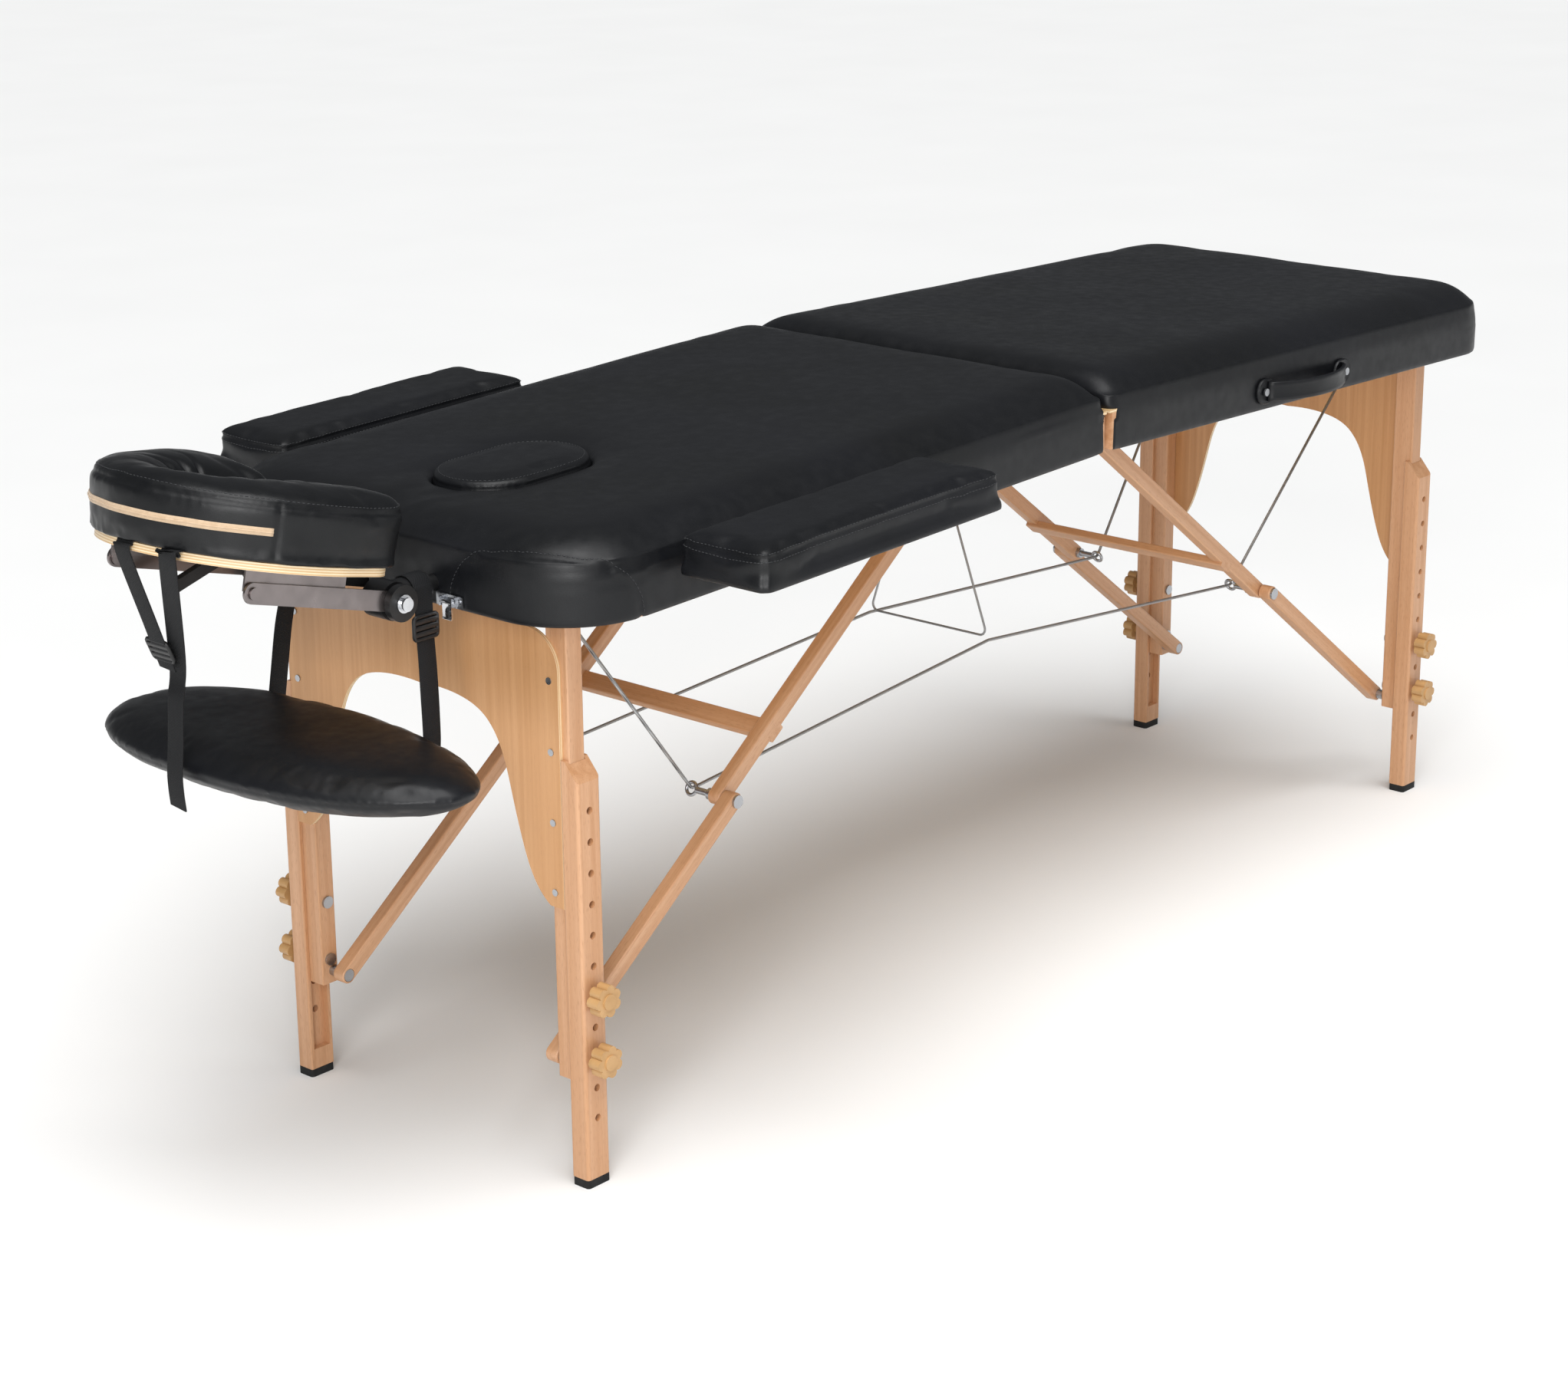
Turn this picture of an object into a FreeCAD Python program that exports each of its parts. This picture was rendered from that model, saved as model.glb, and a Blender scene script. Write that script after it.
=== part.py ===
import FreeCAD, Part
import math
import os

# Portable two-section massage table: hinged wooden frames with foam tops, folding adjustable
# legs held by knee braces and steel cables, side armrests, a tilting face cradle and a hanging
# arm sling.
#
# Millimetres. +X runs from the head end to the foot end, +Y to the far side, +Z up. The floor is
# z = 0. The model is laid out with the fold line at x = 0 and moved by ORIGIN_SHIFT at the end,
# so that the origin is on the floor under the middle of the whole table.

V = FreeCAD.Vector
X_AXIS = V(1, 0, 0)
Y_AXIS = V(0, 1, 0)
Z_AXIS = V(0, 0, 1)

# ---- driving dimensions ------------------------------------------------------------------
ORIGIN_SHIFT = 165.0

# bed sections
HALF_LENGTH = 927.0          # one section, fold line to end
HALF_WIDTH = 303.0
FOLD_Z = 687.0               # fold hinge axis above the floor
BED_SLOPE = 1.5              # each section falls this many degrees towards its end
AXIS_DROP = 1.0              # fold axis below the rails' lower faces
RAIL_HEIGHT = 46.0
RAIL_THICK = 18.0
RAIL_INSET = 2.0             # wood frame inside the upholstered outline
DECK_THICK = 4.0
PAD_HEIGHT = 41.0
PAD_ROUND = 20.0
FOLD_GAP = 0.6               # half the gap between the two pads
FRAME_FOLD_GAP = 7.0         # fold rails stand this far from the fold line
HEAD_CORNER = 105.0
FOOT_CORNER = 72.0

# legs
WOOD_EDGE = 2.0              # eased edges of the legs and braces
LEG_X = 857.0                # leg pivot along its section
LEG_RISE = 20.0              # leg pivot above the rails' lower faces
UPPER_LEG_X = 24.0
LEG_IN_Y = 197.0
LEG_OUT_Y = 228.2
EXT_X = 35.0
EXT_IN_Y = 219.5
EXT_OUT_Y = 244.5
EXT_TOP = 500.0
GROOVE_DEPTH = 9.0
FOOT_PAD = 10.0
LEG_LOW = 124.0
HOLE_PITCH = 36.2
HOLE_COUNT = 11
HOLE_FIRST = 82.2
KNOB_HOLES = (2, 4)          # holes that carry the knob bolts, counted up from the lowest
HOLE_PLAY = 0.3
BOLT_R = 4.0
BOLT_HEAD_R = 7.4
BOLT_HEAD_T = 4.0
RUN = 0.06                   # radial running clearance
KNOB_R = 19.0
KNOB_LOBES = 7
KNOB_DEPTH = 24.0

# end panels
PANEL_THICK = 5.0
PANEL_HALF = 219.0
PANEL_TOP = 642.0
PANEL_CORNER = 45.0
PANEL_LOW = 328.0
ARCH_TOP = 544.0
PANEL_SCREWS = 4
PANEL_SCREW_Z = 345.0
PANEL_SCREW_STEP = 80.7

# knee braces
BRACE_PIVOT = 80.0           # upper pivot along the section
BRACE_RISE = 31.0            # upper pivot above the rails' lower faces
BRACE_FOOT_BACK = 5.0        # lower pivot from the leg's centre line, towards the fold
BRACE_FOOT_Z = 139.0         # lower pivot above the floor
BRACE_BOLT_R = 3.0
BRACE_BOLT_TIP = 222.0       # the lower brace's bolt ends inside the leg
BRACE_H = 20.0
BRACE_T = 18.0
LOWER_IN_Y = 169.0
UPPER_IN_Y = 150.0
CROSSBAR_BACK = 107.0        # crossbar centre from the knuckle, along the upper brace
CROSSBAR_W = 24.0
CROSSBAR_T = 11.0
CROSSBAR_LET_IN = 6.5         # how far it is let into the braces
EYE_Y = 116.0
EYE_TILT = 23.0              # the ring faces between the two runs of the cable

# cables
CABLE_R = 2.0
CABLE_JOIN = (25.0, 100.0, 400.0)

# armrests
ARM_NEAR = 385.0
ARM_LENGTH = 400.0
ARM_IN_Y = 317.0
ARM_WIDTH = 120.0
ARM_BASE = 39.0              # board underside above the rails' lower faces
ARM_BOARD = 8.0
ARM_PAD = 37.0
ARM_ROD_R = 8.0
ARM_RODS = (480.0, 690.0)
ARM_ROD_IN_Y = 250.0

# face cradle
ROD_Y = 88.0
ROD_R = 9.5
ROD_RISE = 23.0
HUB_X = 998.0                # hub axis from the fold line, along the section
CRADLE_ARM_Y = 107.5
CRADLE_ARM_T = 3.0
CRADLE_ARM_H = 22.0
HUB_CAP_R = 20.0              # black cap outside each arm, on the hub's bolt
HUB_CAP_T = 9.0
TILT_PIVOT = (-1190.0, 737.0)
PLATE_POINT = (-1148.0, 754.0)
PLATE_SLOPE = 12.5
PLATE_THICK = 9.0
FACE_HEIGHT = 66.0
FACE_R = 165.0
FACE_BACK = 115.0            # rear edge of the cushion from PLATE_POINT, along the plate
FACE_FRONT = 45.0            # centre of the round front, ahead of the rear edge by the rest
FACE_HOLE_R = 52.0
FACE_HOLE_X = 10.0           # centre of the face opening's round end, along the plate
FACE_CORNER = 26.0

LEVER_PIVOT = (-1082.0, 724.0)
LEVER_LENGTH = 78.0
LEVER_STUD_R = 4.0
LEVER_IN_Y = 60.0
LEVER_THICK = 11.0

# hanging arm sling
SLING_X = -1080.0
SLING_Y = -20.0
SLING_Z = 521.0
SLING_HALF_L = 272.0
SLING_HALF_W = 118.0
SLING_THICK = 64.0
SLING_ROLL = -0.8            # the far end hangs a little lower
STRAP_W = 25.0
STRAP_T = 1.6
FRONT_STRAP_Y = 18.0
STRAP_TOPS = (-58.0, 4.0)     # where the two front straps leave the cradle board's rim
REAR_STRAP_Y = 126.0
BUCKLE_Z = 638.0

SLOPE = math.radians(BED_SLOPE)
RAIL_Z = FOLD_Z + AXIS_DROP              # lower faces of the rails, before a section is sloped
LEG_PIVOT_Z = RAIL_Z + LEG_RISE
BRACE_PIVOT_Z = RAIL_Z + BRACE_RISE
DECK_Z = RAIL_Z + RAIL_HEIGHT
PAD_Z = DECK_Z + DECK_THICK


# ---- small helpers -----------------------------------------------------------------------
def box(x0, x1, y0, y1, z0, z1):
    """An upright box between two corners."""
    return Part.makeBox(x1 - x0, y1 - y0, z1 - z0, V(x0, y0, z0))


def rod_y(x, z, radius, y0, y1):
    """A round bar along Y."""
    return Part.makeCylinder(radius, y1 - y0, V(x, y0, z), Y_AXIS)


def rod_x(y, z, radius, x0, x1):
    return Part.makeCylinder(radius, x1 - x0, V(x0, y, z), X_AXIS)


def rod_z(x, y, radius, z0, z1):
    return Part.makeCylinder(radius, z1 - z0, V(x, y, z0), Z_AXIS)


def fuse(shapes):
    """One solid from touching shapes."""
    return shapes[0].multiFuse(shapes[1:]).removeSplitter()


def group(shapes):
    """Separate solids that share a node."""
    return Part.makeCompound([s for shape in shapes for s in shape.Solids])


def cut(shape, tools):
    return shape.cut(Part.makeCompound(tools))


def mirror_x(shape):
    """The head-side twin of a foot-side shape."""
    return shape.mirror(V(0, 0, 0), X_AXIS)


def mirror_y(shape):
    return shape.mirror(V(0, 0, 0), Y_AXIS)


def both_y(shape):
    """The near and the far copy as one group."""
    return group([shape, mirror_y(shape)])


def sloped(shape):
    """Turn a foot-side shape from level to the slope of its section."""
    out = shape.copy()
    out.rotate(V(0, 0, FOLD_Z), Y_AXIS, BED_SLOPE)
    return out


def slope_point(x, z):
    """Where a point of the level foot section comes to, as (x, z)."""
    up = z - FOLD_Z
    return (x * math.cos(SLOPE) + up * math.sin(SLOPE),
            FOLD_Z + up * math.cos(SLOPE) - x * math.sin(SLOPE))


def vertical_edges(shape, z0, z1, xmin):
    """Edges that run upward from z0 to z1 beyond x = xmin."""
    found = []
    for edge in shape.Edges:
        b = edge.BoundBox
        if b.ZLength > 0.9 * (z1 - z0) and b.XLength < 0.1 and b.YLength < 0.1 and b.XMin > xmin:
            found.append(edge)
    return found


def bed_block(inset, fold_gap, z0, z1, corner):
    """A slab with the plan of one section: square at the fold, round at the outer corners."""
    end = HALF_LENGTH - inset
    half = HALF_WIDTH - inset
    slab = box(fold_gap, end, -half, half, z0, z1)
    return slab.makeFillet(corner - inset, vertical_edges(slab, z0, z1, end / 2))


def top_edges(shape, z):
    return [e for e in shape.Edges if abs(e.BoundBox.ZMin - z) < 0.01 and e.BoundBox.ZLength < 0.01]


def tube(points, radius, bend):
    """A round wire along straight runs joined by tangent arcs of radius bend."""
    path, start = [], V(*points[0])
    for i in range(1, len(points) - 1):
        here, before, after = V(*points[i]), V(*points[i - 1]), V(*points[i + 1])
        a, b = (before - here).normalize(), (after - here).normalize()
        half = a.getAngle(b) / 2
        reach = bend / math.tan(half)
        middle = (a + b).normalize() * (bend / math.sin(half) - bend)
        path.append(Part.LineSegment(start, here + a * reach).toShape())
        path.append(Part.Arc(here + a * reach, here + middle, here + b * reach).toShape())
        start = here + b * reach
    path.append(Part.LineSegment(start, V(*points[-1])).toShape())
    first = V(*points[1]) - V(*points[0])
    ring = Part.Wire(Part.makeCircle(radius, V(*points[0]), first))
    return Part.Wire(path).makePipeShell([ring], True, True, 1)


def ribbon(points, across, width, thick):
    """A flat webbing strap through points; across is the direction of its width."""
    route = [V(*p) for p in points]
    side = V(*across).normalize() * (width / 2)
    rings = []
    for i, p in enumerate(route):
        ahead = route[min(i + 1, len(route) - 1)] - route[max(i - 1, 0)]
        normal = ahead.cross(side).normalize() * (thick / 2)
        ring = [p - side - normal, p + side - normal, p + side + normal, p - side + normal]
        rings.append(Part.makePolygon(ring + ring[:1]))
    return Part.makeLoft(rings, True, True)


# ---- knee brace geometry, foot side ------------------------------------------------------
def brace_geometry():
    """Pivots of the folding brace at rest, as (x, z).

    The lower brace is pinned to the leg at B and the upper one to the deck at D; they meet at
    the knuckle C. At rest they are straight. With the leg folded the upper brace lies level, and
    the lower one comes back from it to its pivot, a little lower: these two conditions give
    their lengths."""
    a = slope_point(LEG_X, LEG_PIVOT_Z)
    d = slope_point(BRACE_PIVOT, BRACE_PIVOT_Z)
    b = (a[0] - BRACE_FOOT_BACK, BRACE_FOOT_Z)
    span = math.hypot(b[0] - d[0], b[1] - d[1])
    shift = LEG_X - (a[1] - b[1]) - BRACE_PIVOT
    step = BRACE_RISE - LEG_RISE - BRACE_FOOT_BACK
    upper = (span ** 2 - shift ** 2 - step ** 2) / (2 * (span - shift))
    lower = span - upper
    c = (b[0] + (d[0] - b[0]) * lower / span, b[1] + (d[1] - b[1]) * lower / span)
    fall = math.degrees(math.atan2(d[1] - c[1], c[0] - d[0]))
    return {"A": a, "B": b, "C": c, "D": d, "fall": fall, "upper": upper}


G = brace_geometry()


def along_upper(distance, rise=0.0):
    """A point on the upper brace's line, measured from its top pivot, as (x, z)."""
    fall = math.radians(G["fall"])
    return (G["D"][0] + distance * math.cos(fall) + rise * math.sin(fall),
            G["D"][1] - distance * math.sin(fall) + rise * math.cos(fall))


def bar(start, end, height, over, y0, y1, eased=0.0):
    """A flat bar between two pivots (x, z), running past each by over, with rounded ends.

    eased is the radius of the long edges of a wooden bar."""
    length = math.hypot(end[0] - start[0], end[1] - start[1])
    body = box(-over, length + over, y0, y1, -height / 2, height / 2)
    corners = [e for e in body.Edges if e.BoundBox.YLength > 0.9 * (y1 - y0)]
    body = body.makeFillet(min(height / 2 - 0.2, over - 0.2), corners)
    if eased:
        body = body.makeFillet(eased, [e for e in body.Edges if e.BoundBox.YLength < 0.01])
    body.rotate(V(0, 0, 0), Y_AXIS, math.degrees(math.atan2(start[1] - end[1], end[0] - start[0])))
    body.translate(V(start[0], 0, start[1]))
    return body


# ---- bed section -------------------------------------------------------------------------
def frame_rails(corner, side_holes, end_holes):
    """Two side rails, an end rail with bent corners and a fold rail with pockets for the hinges."""
    outer = bed_block(RAIL_INSET, FRAME_FOLD_GAP, RAIL_Z, DECK_Z, corner)
    inner = bed_block(RAIL_INSET + RAIL_THICK, FRAME_FOLD_GAP + RAIL_THICK, RAIL_Z - 1, DECK_Z + 1,
                      corner)
    ring = outer.cut(inner)
    bend = HALF_LENGTH - corner - 10
    wide = HALF_WIDTH + 10
    middle = box(FRAME_FOLD_GAP + RAIL_THICK, bend, -wide, wide, RAIL_Z - 1, DECK_Z + 1)
    end = box(bend, HALF_LENGTH + 10, -wide, wide, RAIL_Z - 1, DECK_Z + 1)
    fold = box(0, FRAME_FOLD_GAP + RAIL_THICK, -wide, wide, RAIL_Z - 1, DECK_Z + 1)
    holes = []
    for x in side_holes:
        holes.append(rod_y(x, RAIL_Z + ROD_RISE, ARM_ROD_R + RUN, -wide, wide))
    for y in end_holes:
        holes.append(rod_x(y, RAIL_Z + ROD_RISE, ROD_R + RUN, HALF_LENGTH - 60, HALF_LENGTH + 10))
    for y in (-HINGE_Y, HINGE_Y):
        holes.append(box(0, FRAME_FOLD_GAP + LEAF_WIDTH, y - HINGE_LENGTH / 2, y + HINGE_LENGTH / 2,
                         RAIL_Z - 1, RAIL_Z + LEAF_T))
    return group([cut(ring.common(part), holes) for part in (middle, end, fold)])


def oval(cx, cy, length, width, z0, z1):
    """An upright oval slab with straight sides along X."""
    r = width / 2
    run = length / 2 - r
    ends = [rod_z(cx + s * run, cy, r, z0, z1) for s in (-1, 1)]
    return fuse([box(cx - run, cx + run, cy - r, cy + r, z0, z1)] + ends)


BREATH_X = 713.0
BREATH_Y = 5.0
BREATH_LENGTH = 198.0
BREATH_WIDTH = 134.0
BREATH_LEDGE = 12.0
BREATH_GAP = 1.0
BREATH_PROUD = 5.0


def deck(corner, breath):
    slab = bed_block(RAIL_INSET, 2.0, DECK_Z, PAD_Z, corner)
    if breath:
        slab = slab.cut(oval(BREATH_X, BREATH_Y, BREATH_LENGTH - 2 * BREATH_LEDGE,
                             BREATH_WIDTH - 2 * BREATH_LEDGE, DECK_Z - 1, PAD_Z + 1))
    return slab


def pad(corner, breath):
    """Foam and cover of one section, with a generous round along every upper edge."""
    top = PAD_Z + PAD_HEIGHT
    slab = bed_block(0.0, FOLD_GAP, PAD_Z, top, corner)
    slab = slab.makeFillet(PAD_ROUND, top_edges(slab, top))
    if breath:
        slab = slab.cut(oval(BREATH_X, BREATH_Y, BREATH_LENGTH, BREATH_WIDTH, PAD_Z - 1, top + 1))
    return slab


def breath_plug():
    """Padded oval that closes the breathing hole. It rests on the deck and stands a little proud."""
    top = PAD_Z + PAD_HEIGHT + BREATH_PROUD
    plug = oval(BREATH_X, BREATH_Y, BREATH_LENGTH - 2 * BREATH_GAP, BREATH_WIDTH - 2 * BREATH_GAP,
                PAD_Z + 0.3, top)
    return plug.makeFillet(8, top_edges(plug, top))


# ---- steel fittings on a section ---------------------------------------------------------
HINGE_Y = 210.0
HINGE_LENGTH = 72.0
HINGE_PIN_R = 2.5
HINGE_KNUCKLE_R = 4.6
LEAF_T = 2.0
LEAF_WIDTH = 16.0
KNUCKLES = 5


def fold_hinge_leaf(y, first):
    """One leaf of a butt hinge: a plate let into the rails' lower faces and every second knuckle."""
    step = HINGE_LENGTH / KNUCKLES
    low = y - HINGE_LENGTH / 2
    plate = box(FRAME_FOLD_GAP - 2, FRAME_FOLD_GAP + LEAF_WIDTH, low, low + HINGE_LENGTH,
                RAIL_Z, RAIL_Z + LEAF_T)
    parts = [plate]
    for i in range(first, KNUCKLES, 2):
        y0, y1 = low + i * step + 0.2, low + (i + 1) * step - 0.2
        parts.append(rod_y(0, FOLD_Z, HINGE_KNUCKLE_R, y0, y1))
        parts.append(box(0, FRAME_FOLD_GAP, y0, y1, RAIL_Z, RAIL_Z + LEAF_T))
    other = [box(-8, FRAME_FOLD_GAP - 1, low + i * step - 0.2, low + (i + 1) * step + 0.2,
                 FOLD_Z - 8, FOLD_Z + 8) for i in range(1 - first, KNUCKLES, 2)]
    bore = rod_y(0, FOLD_Z, HINGE_PIN_R + RUN, low - 1, low + HINGE_LENGTH + 1)
    return cut(fuse(parts), other + [bore])


def fold_hinge_pins():
    pins = []
    for y in (-HINGE_Y, HINGE_Y):
        pins.append(rod_y(0, FOLD_Z, HINGE_PIN_R, y - HINGE_LENGTH / 2 - 2, y + HINGE_LENGTH / 2 + 2))
    return group(pins)


EAR_T = 3.0
EAR_W = 30.0
PLATE_T = 3.0


def pivot_bracket(x, z, y_in, y_out):
    """A plate under the deck with two ears, and the shoulder bolt between them."""
    ears = []
    for y0 in (y_in - EAR_T, y_out):
        ears.append(rod_y(x, z, EAR_W / 2 - 4, y0, y0 + EAR_T))
        ears.append(box(x - EAR_W / 2 + 4, x + EAR_W / 2 - 4, y0, y0 + EAR_T, z, DECK_Z))
    plate = box(x - EAR_W / 2, x + EAR_W / 2, y_in - EAR_T, y_out + EAR_T, DECK_Z - PLATE_T, DECK_Z)
    bolt = rod_y(x, z, BOLT_R, y_in - EAR_T - 1.5, y_out + EAR_T + 1.5)
    return fuse(ears + [plate, bolt])


def cable_anchor():
    """Hook plate under the deck that holds the outer end of a cable."""
    x, y = LEG_X - 14, 153.0
    return fuse([rod_z(x, y, 8, DECK_Z - 2, DECK_Z), rod_z(x, y, 4, DECK_Z - 14, DECK_Z)])


def section_fittings(first):
    """Everything in steel that is fixed to one section, foot side and level."""
    parts = []
    for side in (1, -1):
        parts.append(fold_hinge_leaf(side * HINGE_Y, first))
    gap = 0.5
    leg = pivot_bracket(LEG_X, LEG_PIVOT_Z, LEG_IN_Y - gap, LEG_OUT_Y + gap)
    brace = pivot_bracket(BRACE_PIVOT, BRACE_PIVOT_Z, UPPER_IN_Y - gap, UPPER_IN_Y + BRACE_T + gap)
    parts.append(both_y(group([leg, brace, cable_anchor()])))
    return sloped(group(parts))


# ---- legs --------------------------------------------------------------------------------
def hole_z(i):
    return HOLE_FIRST + HOLE_PITCH * i


def upper_leg():
    """Inner leg member, near its top pinned to the bracket and below it bolted to the extension."""
    x, z = G["A"]
    half = UPPER_LEG_X / 2
    post = box(x - half, x + half, LEG_IN_Y, LEG_OUT_Y, LEG_LOW, z)
    post = post.makeFillet(WOOD_EDGE, [e for e in post.Edges if e.BoundBox.ZLength > 100])
    leg = fuse([post, rod_y(x, z, half, LEG_IN_Y, LEG_OUT_Y)])
    holes = [rod_y(x, z, BOLT_R + RUN, LEG_IN_Y - 1, LEG_OUT_Y + 1)]
    for i in KNOB_HOLES:
        holes.append(rod_y(x, hole_z(i), BOLT_R, LEG_IN_Y - 1, LEG_OUT_Y + 1))
    holes.append(rod_y(*G["B"], BRACE_BOLT_R, LEG_IN_Y - 1, BRACE_BOLT_TIP))
    return cut(leg, holes)


def extension():
    """Outer leg member: a grooved batten with a row of height holes and a bevelled top."""
    x = G["A"][0]
    half = EXT_X / 2
    body = box(x - half, x + half, EXT_IN_Y, EXT_OUT_Y, FOOT_PAD, EXT_TOP)
    upright = [e for e in body.Edges if e.BoundBox.ZLength > 100]
    body = body.makeFillet(4.0, [e for e in upright if e.BoundBox.YMin > EXT_OUT_Y - 0.1])
    upright = [e for e in body.Edges if e.BoundBox.ZLength > 100]
    body = body.makeFillet(WOOD_EDGE, [e for e in upright if e.BoundBox.YMax < EXT_IN_Y + 0.1])
    groove = box(x - UPPER_LEG_X / 2 - 0.3, x + UPPER_LEG_X / 2 + 0.3, EXT_IN_Y - 1,
                 EXT_IN_Y + GROOVE_DEPTH, FOOT_PAD - 1 + 26, EXT_TOP + 1)
    depth = EXT_OUT_Y - EXT_IN_Y
    bevel = Part.Face(Part.makePolygon([
        V(x - half - 1, EXT_IN_Y + 6, EXT_TOP + 0.1), V(x - half - 1, EXT_OUT_Y + 0.1, EXT_TOP + 0.1),
        V(x - half - 1, EXT_OUT_Y + 0.1, EXT_TOP - 0.9 * depth),
        V(x - half - 1, EXT_IN_Y + 6, EXT_TOP + 0.1)])).extrude(V(EXT_X + 2, 0, 0))
    holes = [rod_y(x, hole_z(i), BOLT_R + HOLE_PLAY, EXT_IN_Y - 1, EXT_OUT_Y + 1)
             for i in range(HOLE_COUNT)]
    return cut(body, [groove, bevel] + holes)


def rubber_foot():
    x = G["A"][0]
    half = EXT_X / 2
    body = box(x - half, x + half, EXT_IN_Y, EXT_OUT_Y, 0, FOOT_PAD)
    corners = [e for e in body.Edges if e.BoundBox.ZLength > 5]
    return body.makeFillet(4.0, corners)


def knob(z):
    """Star knob: a lobed hand wheel on a short neck, bored for its bolt."""
    x = G["A"][0]
    face = EXT_OUT_Y + 0.3
    neck = rod_y(x, z, 9, face, face + KNOB_DEPTH)
    lobe_r = 6.2
    head = [rod_y(x, z, KNOB_R - lobe_r + 1.0, face + 6, face + KNOB_DEPTH - 2)]
    for i in range(KNOB_LOBES):
        a = 2 * math.pi * i / KNOB_LOBES
        reach = KNOB_R - lobe_r
        head.append(rod_y(x + reach * math.cos(a), z + reach * math.sin(a), lobe_r,
                          face + 6, face + KNOB_DEPTH - 2))
    bore = rod_y(x, z, BOLT_R + RUN, face - 1, face + KNOB_DEPTH - 6)
    return fuse([neck] + head).cut(bore)


def leg_fasteners():
    """Knob bolts, the lower brace's bolt with its spacer, and the panel's screws, for one leg."""
    x = G["A"][0]
    tip = EXT_OUT_Y + 0.3 + KNOB_DEPTH - 7
    parts = []
    for i in KNOB_HOLES:
        head = rod_y(x, hole_z(i), BOLT_HEAD_R, LEG_IN_Y - 3, LEG_IN_Y)
        parts.append(fuse([rod_y(x, hole_z(i), BOLT_R, LEG_IN_Y - 3, tip), head]))
    head_y = LOWER_IN_Y + 0.3
    parts.append(fuse([
        rod_y(*G["B"], BRACE_BOLT_R, head_y, BRACE_BOLT_TIP),
        rod_y(*G["B"], BOLT_HEAD_R, head_y, head_y + BOLT_HEAD_T),
        rod_y(*G["B"], 7, LOWER_IN_Y + BRACE_T + 0.4, LEG_IN_Y)]))
    face = x + UPPER_LEG_X / 2 + PANEL_THICK
    for i in range(PANEL_SCREWS):
        z = PANEL_SCREW_Z + PANEL_SCREW_STEP * i
        parts.append(rod_x(LEG_IN_Y + 9, z, 4, face, face + 1.2))
    return group(parts)


def end_panel():
    """Thin board across the two legs, with an arched cut-out that leaves a tongue on each leg."""
    x0 = G["A"][0] + UPPER_LEG_X / 2

    def half_outline():
        top = [V(x0, 0, PANEL_TOP), V(x0, PANEL_HALF - PANEL_CORNER, PANEL_TOP)]
        mid = PANEL_CORNER * (1 - math.sqrt(0.5))
        arc = Part.Arc(top[1], V(x0, PANEL_HALF - mid, PANEL_TOP - mid),
                       V(x0, PANEL_HALF, PANEL_TOP - PANEL_CORNER))
        low = [V(x0, PANEL_HALF, PANEL_LOW), V(x0, 198, PANEL_LOW)]
        curve = Part.BSplineCurve()
        curve.interpolate([low[1], V(x0, 175, 352), V(x0, 158, 392), V(x0, 142, 450),
                           V(x0, 129, 493), V(x0, 104, 527), V(x0, 70, 541), V(x0, 0, ARCH_TOP)])
        edges = [Part.LineSegment(top[0], top[1]).toShape(), arc.toShape(),
                 Part.LineSegment(V(x0, PANEL_HALF, PANEL_TOP - PANEL_CORNER), low[0]).toShape(),
                 Part.LineSegment(low[0], low[1]).toShape(), curve.toShape(),
                 Part.LineSegment(V(x0, 0, ARCH_TOP), top[0]).toShape()]
        return Part.Face(Part.Wire(edges)).extrude(V(PANEL_THICK, 0, 0))

    half = half_outline()
    return fuse([half, mirror_y(half)])


# ---- knee braces -------------------------------------------------------------------------
def upper_brace():
    """Upper brace, notched from below for the crossbar."""
    y0, y1 = UPPER_IN_Y, UPPER_IN_Y + BRACE_T
    body = bar(G["D"], G["C"], BRACE_H, BRACE_H / 2, y0, y1, WOOD_EDGE)
    return cut(body, [
        rod_y(*G["D"], BOLT_R + RUN, y0 - 1, y1 + 1),
        rod_y(*G["C"], BOLT_R, y0 - 1, y1 + 1),
        crossbar_block(y0 - 1, y1 + 1)])


def crossbar_block(y0, y1):
    """The crossbar's section, extruded between two y values."""
    centre = along_upper(G["upper"] - CROSSBAR_BACK, CROSSBAR_LET_IN - (BRACE_H + CROSSBAR_T) / 2)
    block = box(-CROSSBAR_W / 2, CROSSBAR_W / 2, y0, y1, -CROSSBAR_T / 2, CROSSBAR_T / 2)
    block.rotate(V(0, 0, 0), Y_AXIS, G["fall"])
    block.translate(V(centre[0], 0, centre[1]))
    return block


def crossbar():
    reach = UPPER_IN_Y + BRACE_T
    body = crossbar_block(-reach, reach)
    return body.makeFillet(WOOD_EDGE, [e for e in body.Edges if e.BoundBox.YLength > reach])


def lower_brace():
    y0, y1 = LOWER_IN_Y, LOWER_IN_Y + BRACE_T
    body = bar(G["B"], G["C"], BRACE_H, BRACE_H / 2, y0, y1, WOOD_EDGE)
    return cut(body, [
        rod_y(*G["B"], BRACE_BOLT_R + RUN, y0 - 1, y1 + 1),
        rod_y(*G["B"], BOLT_HEAD_R + 0.6, y0 - 1, y0 + BOLT_HEAD_T + 1),
        rod_y(*G["C"], BOLT_R, y0 - 1, y1 + 1)])


def knuckle_bolt():
    """Head and shank of the knuckle bolt that stay in the lower brace."""
    y0, y1 = LOWER_IN_Y, LOWER_IN_Y + BRACE_T
    return fuse([rod_y(*G["C"], BOLT_R, y0, y1), rod_y(*G["C"], 8, y1, y1 + 3)])


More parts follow.
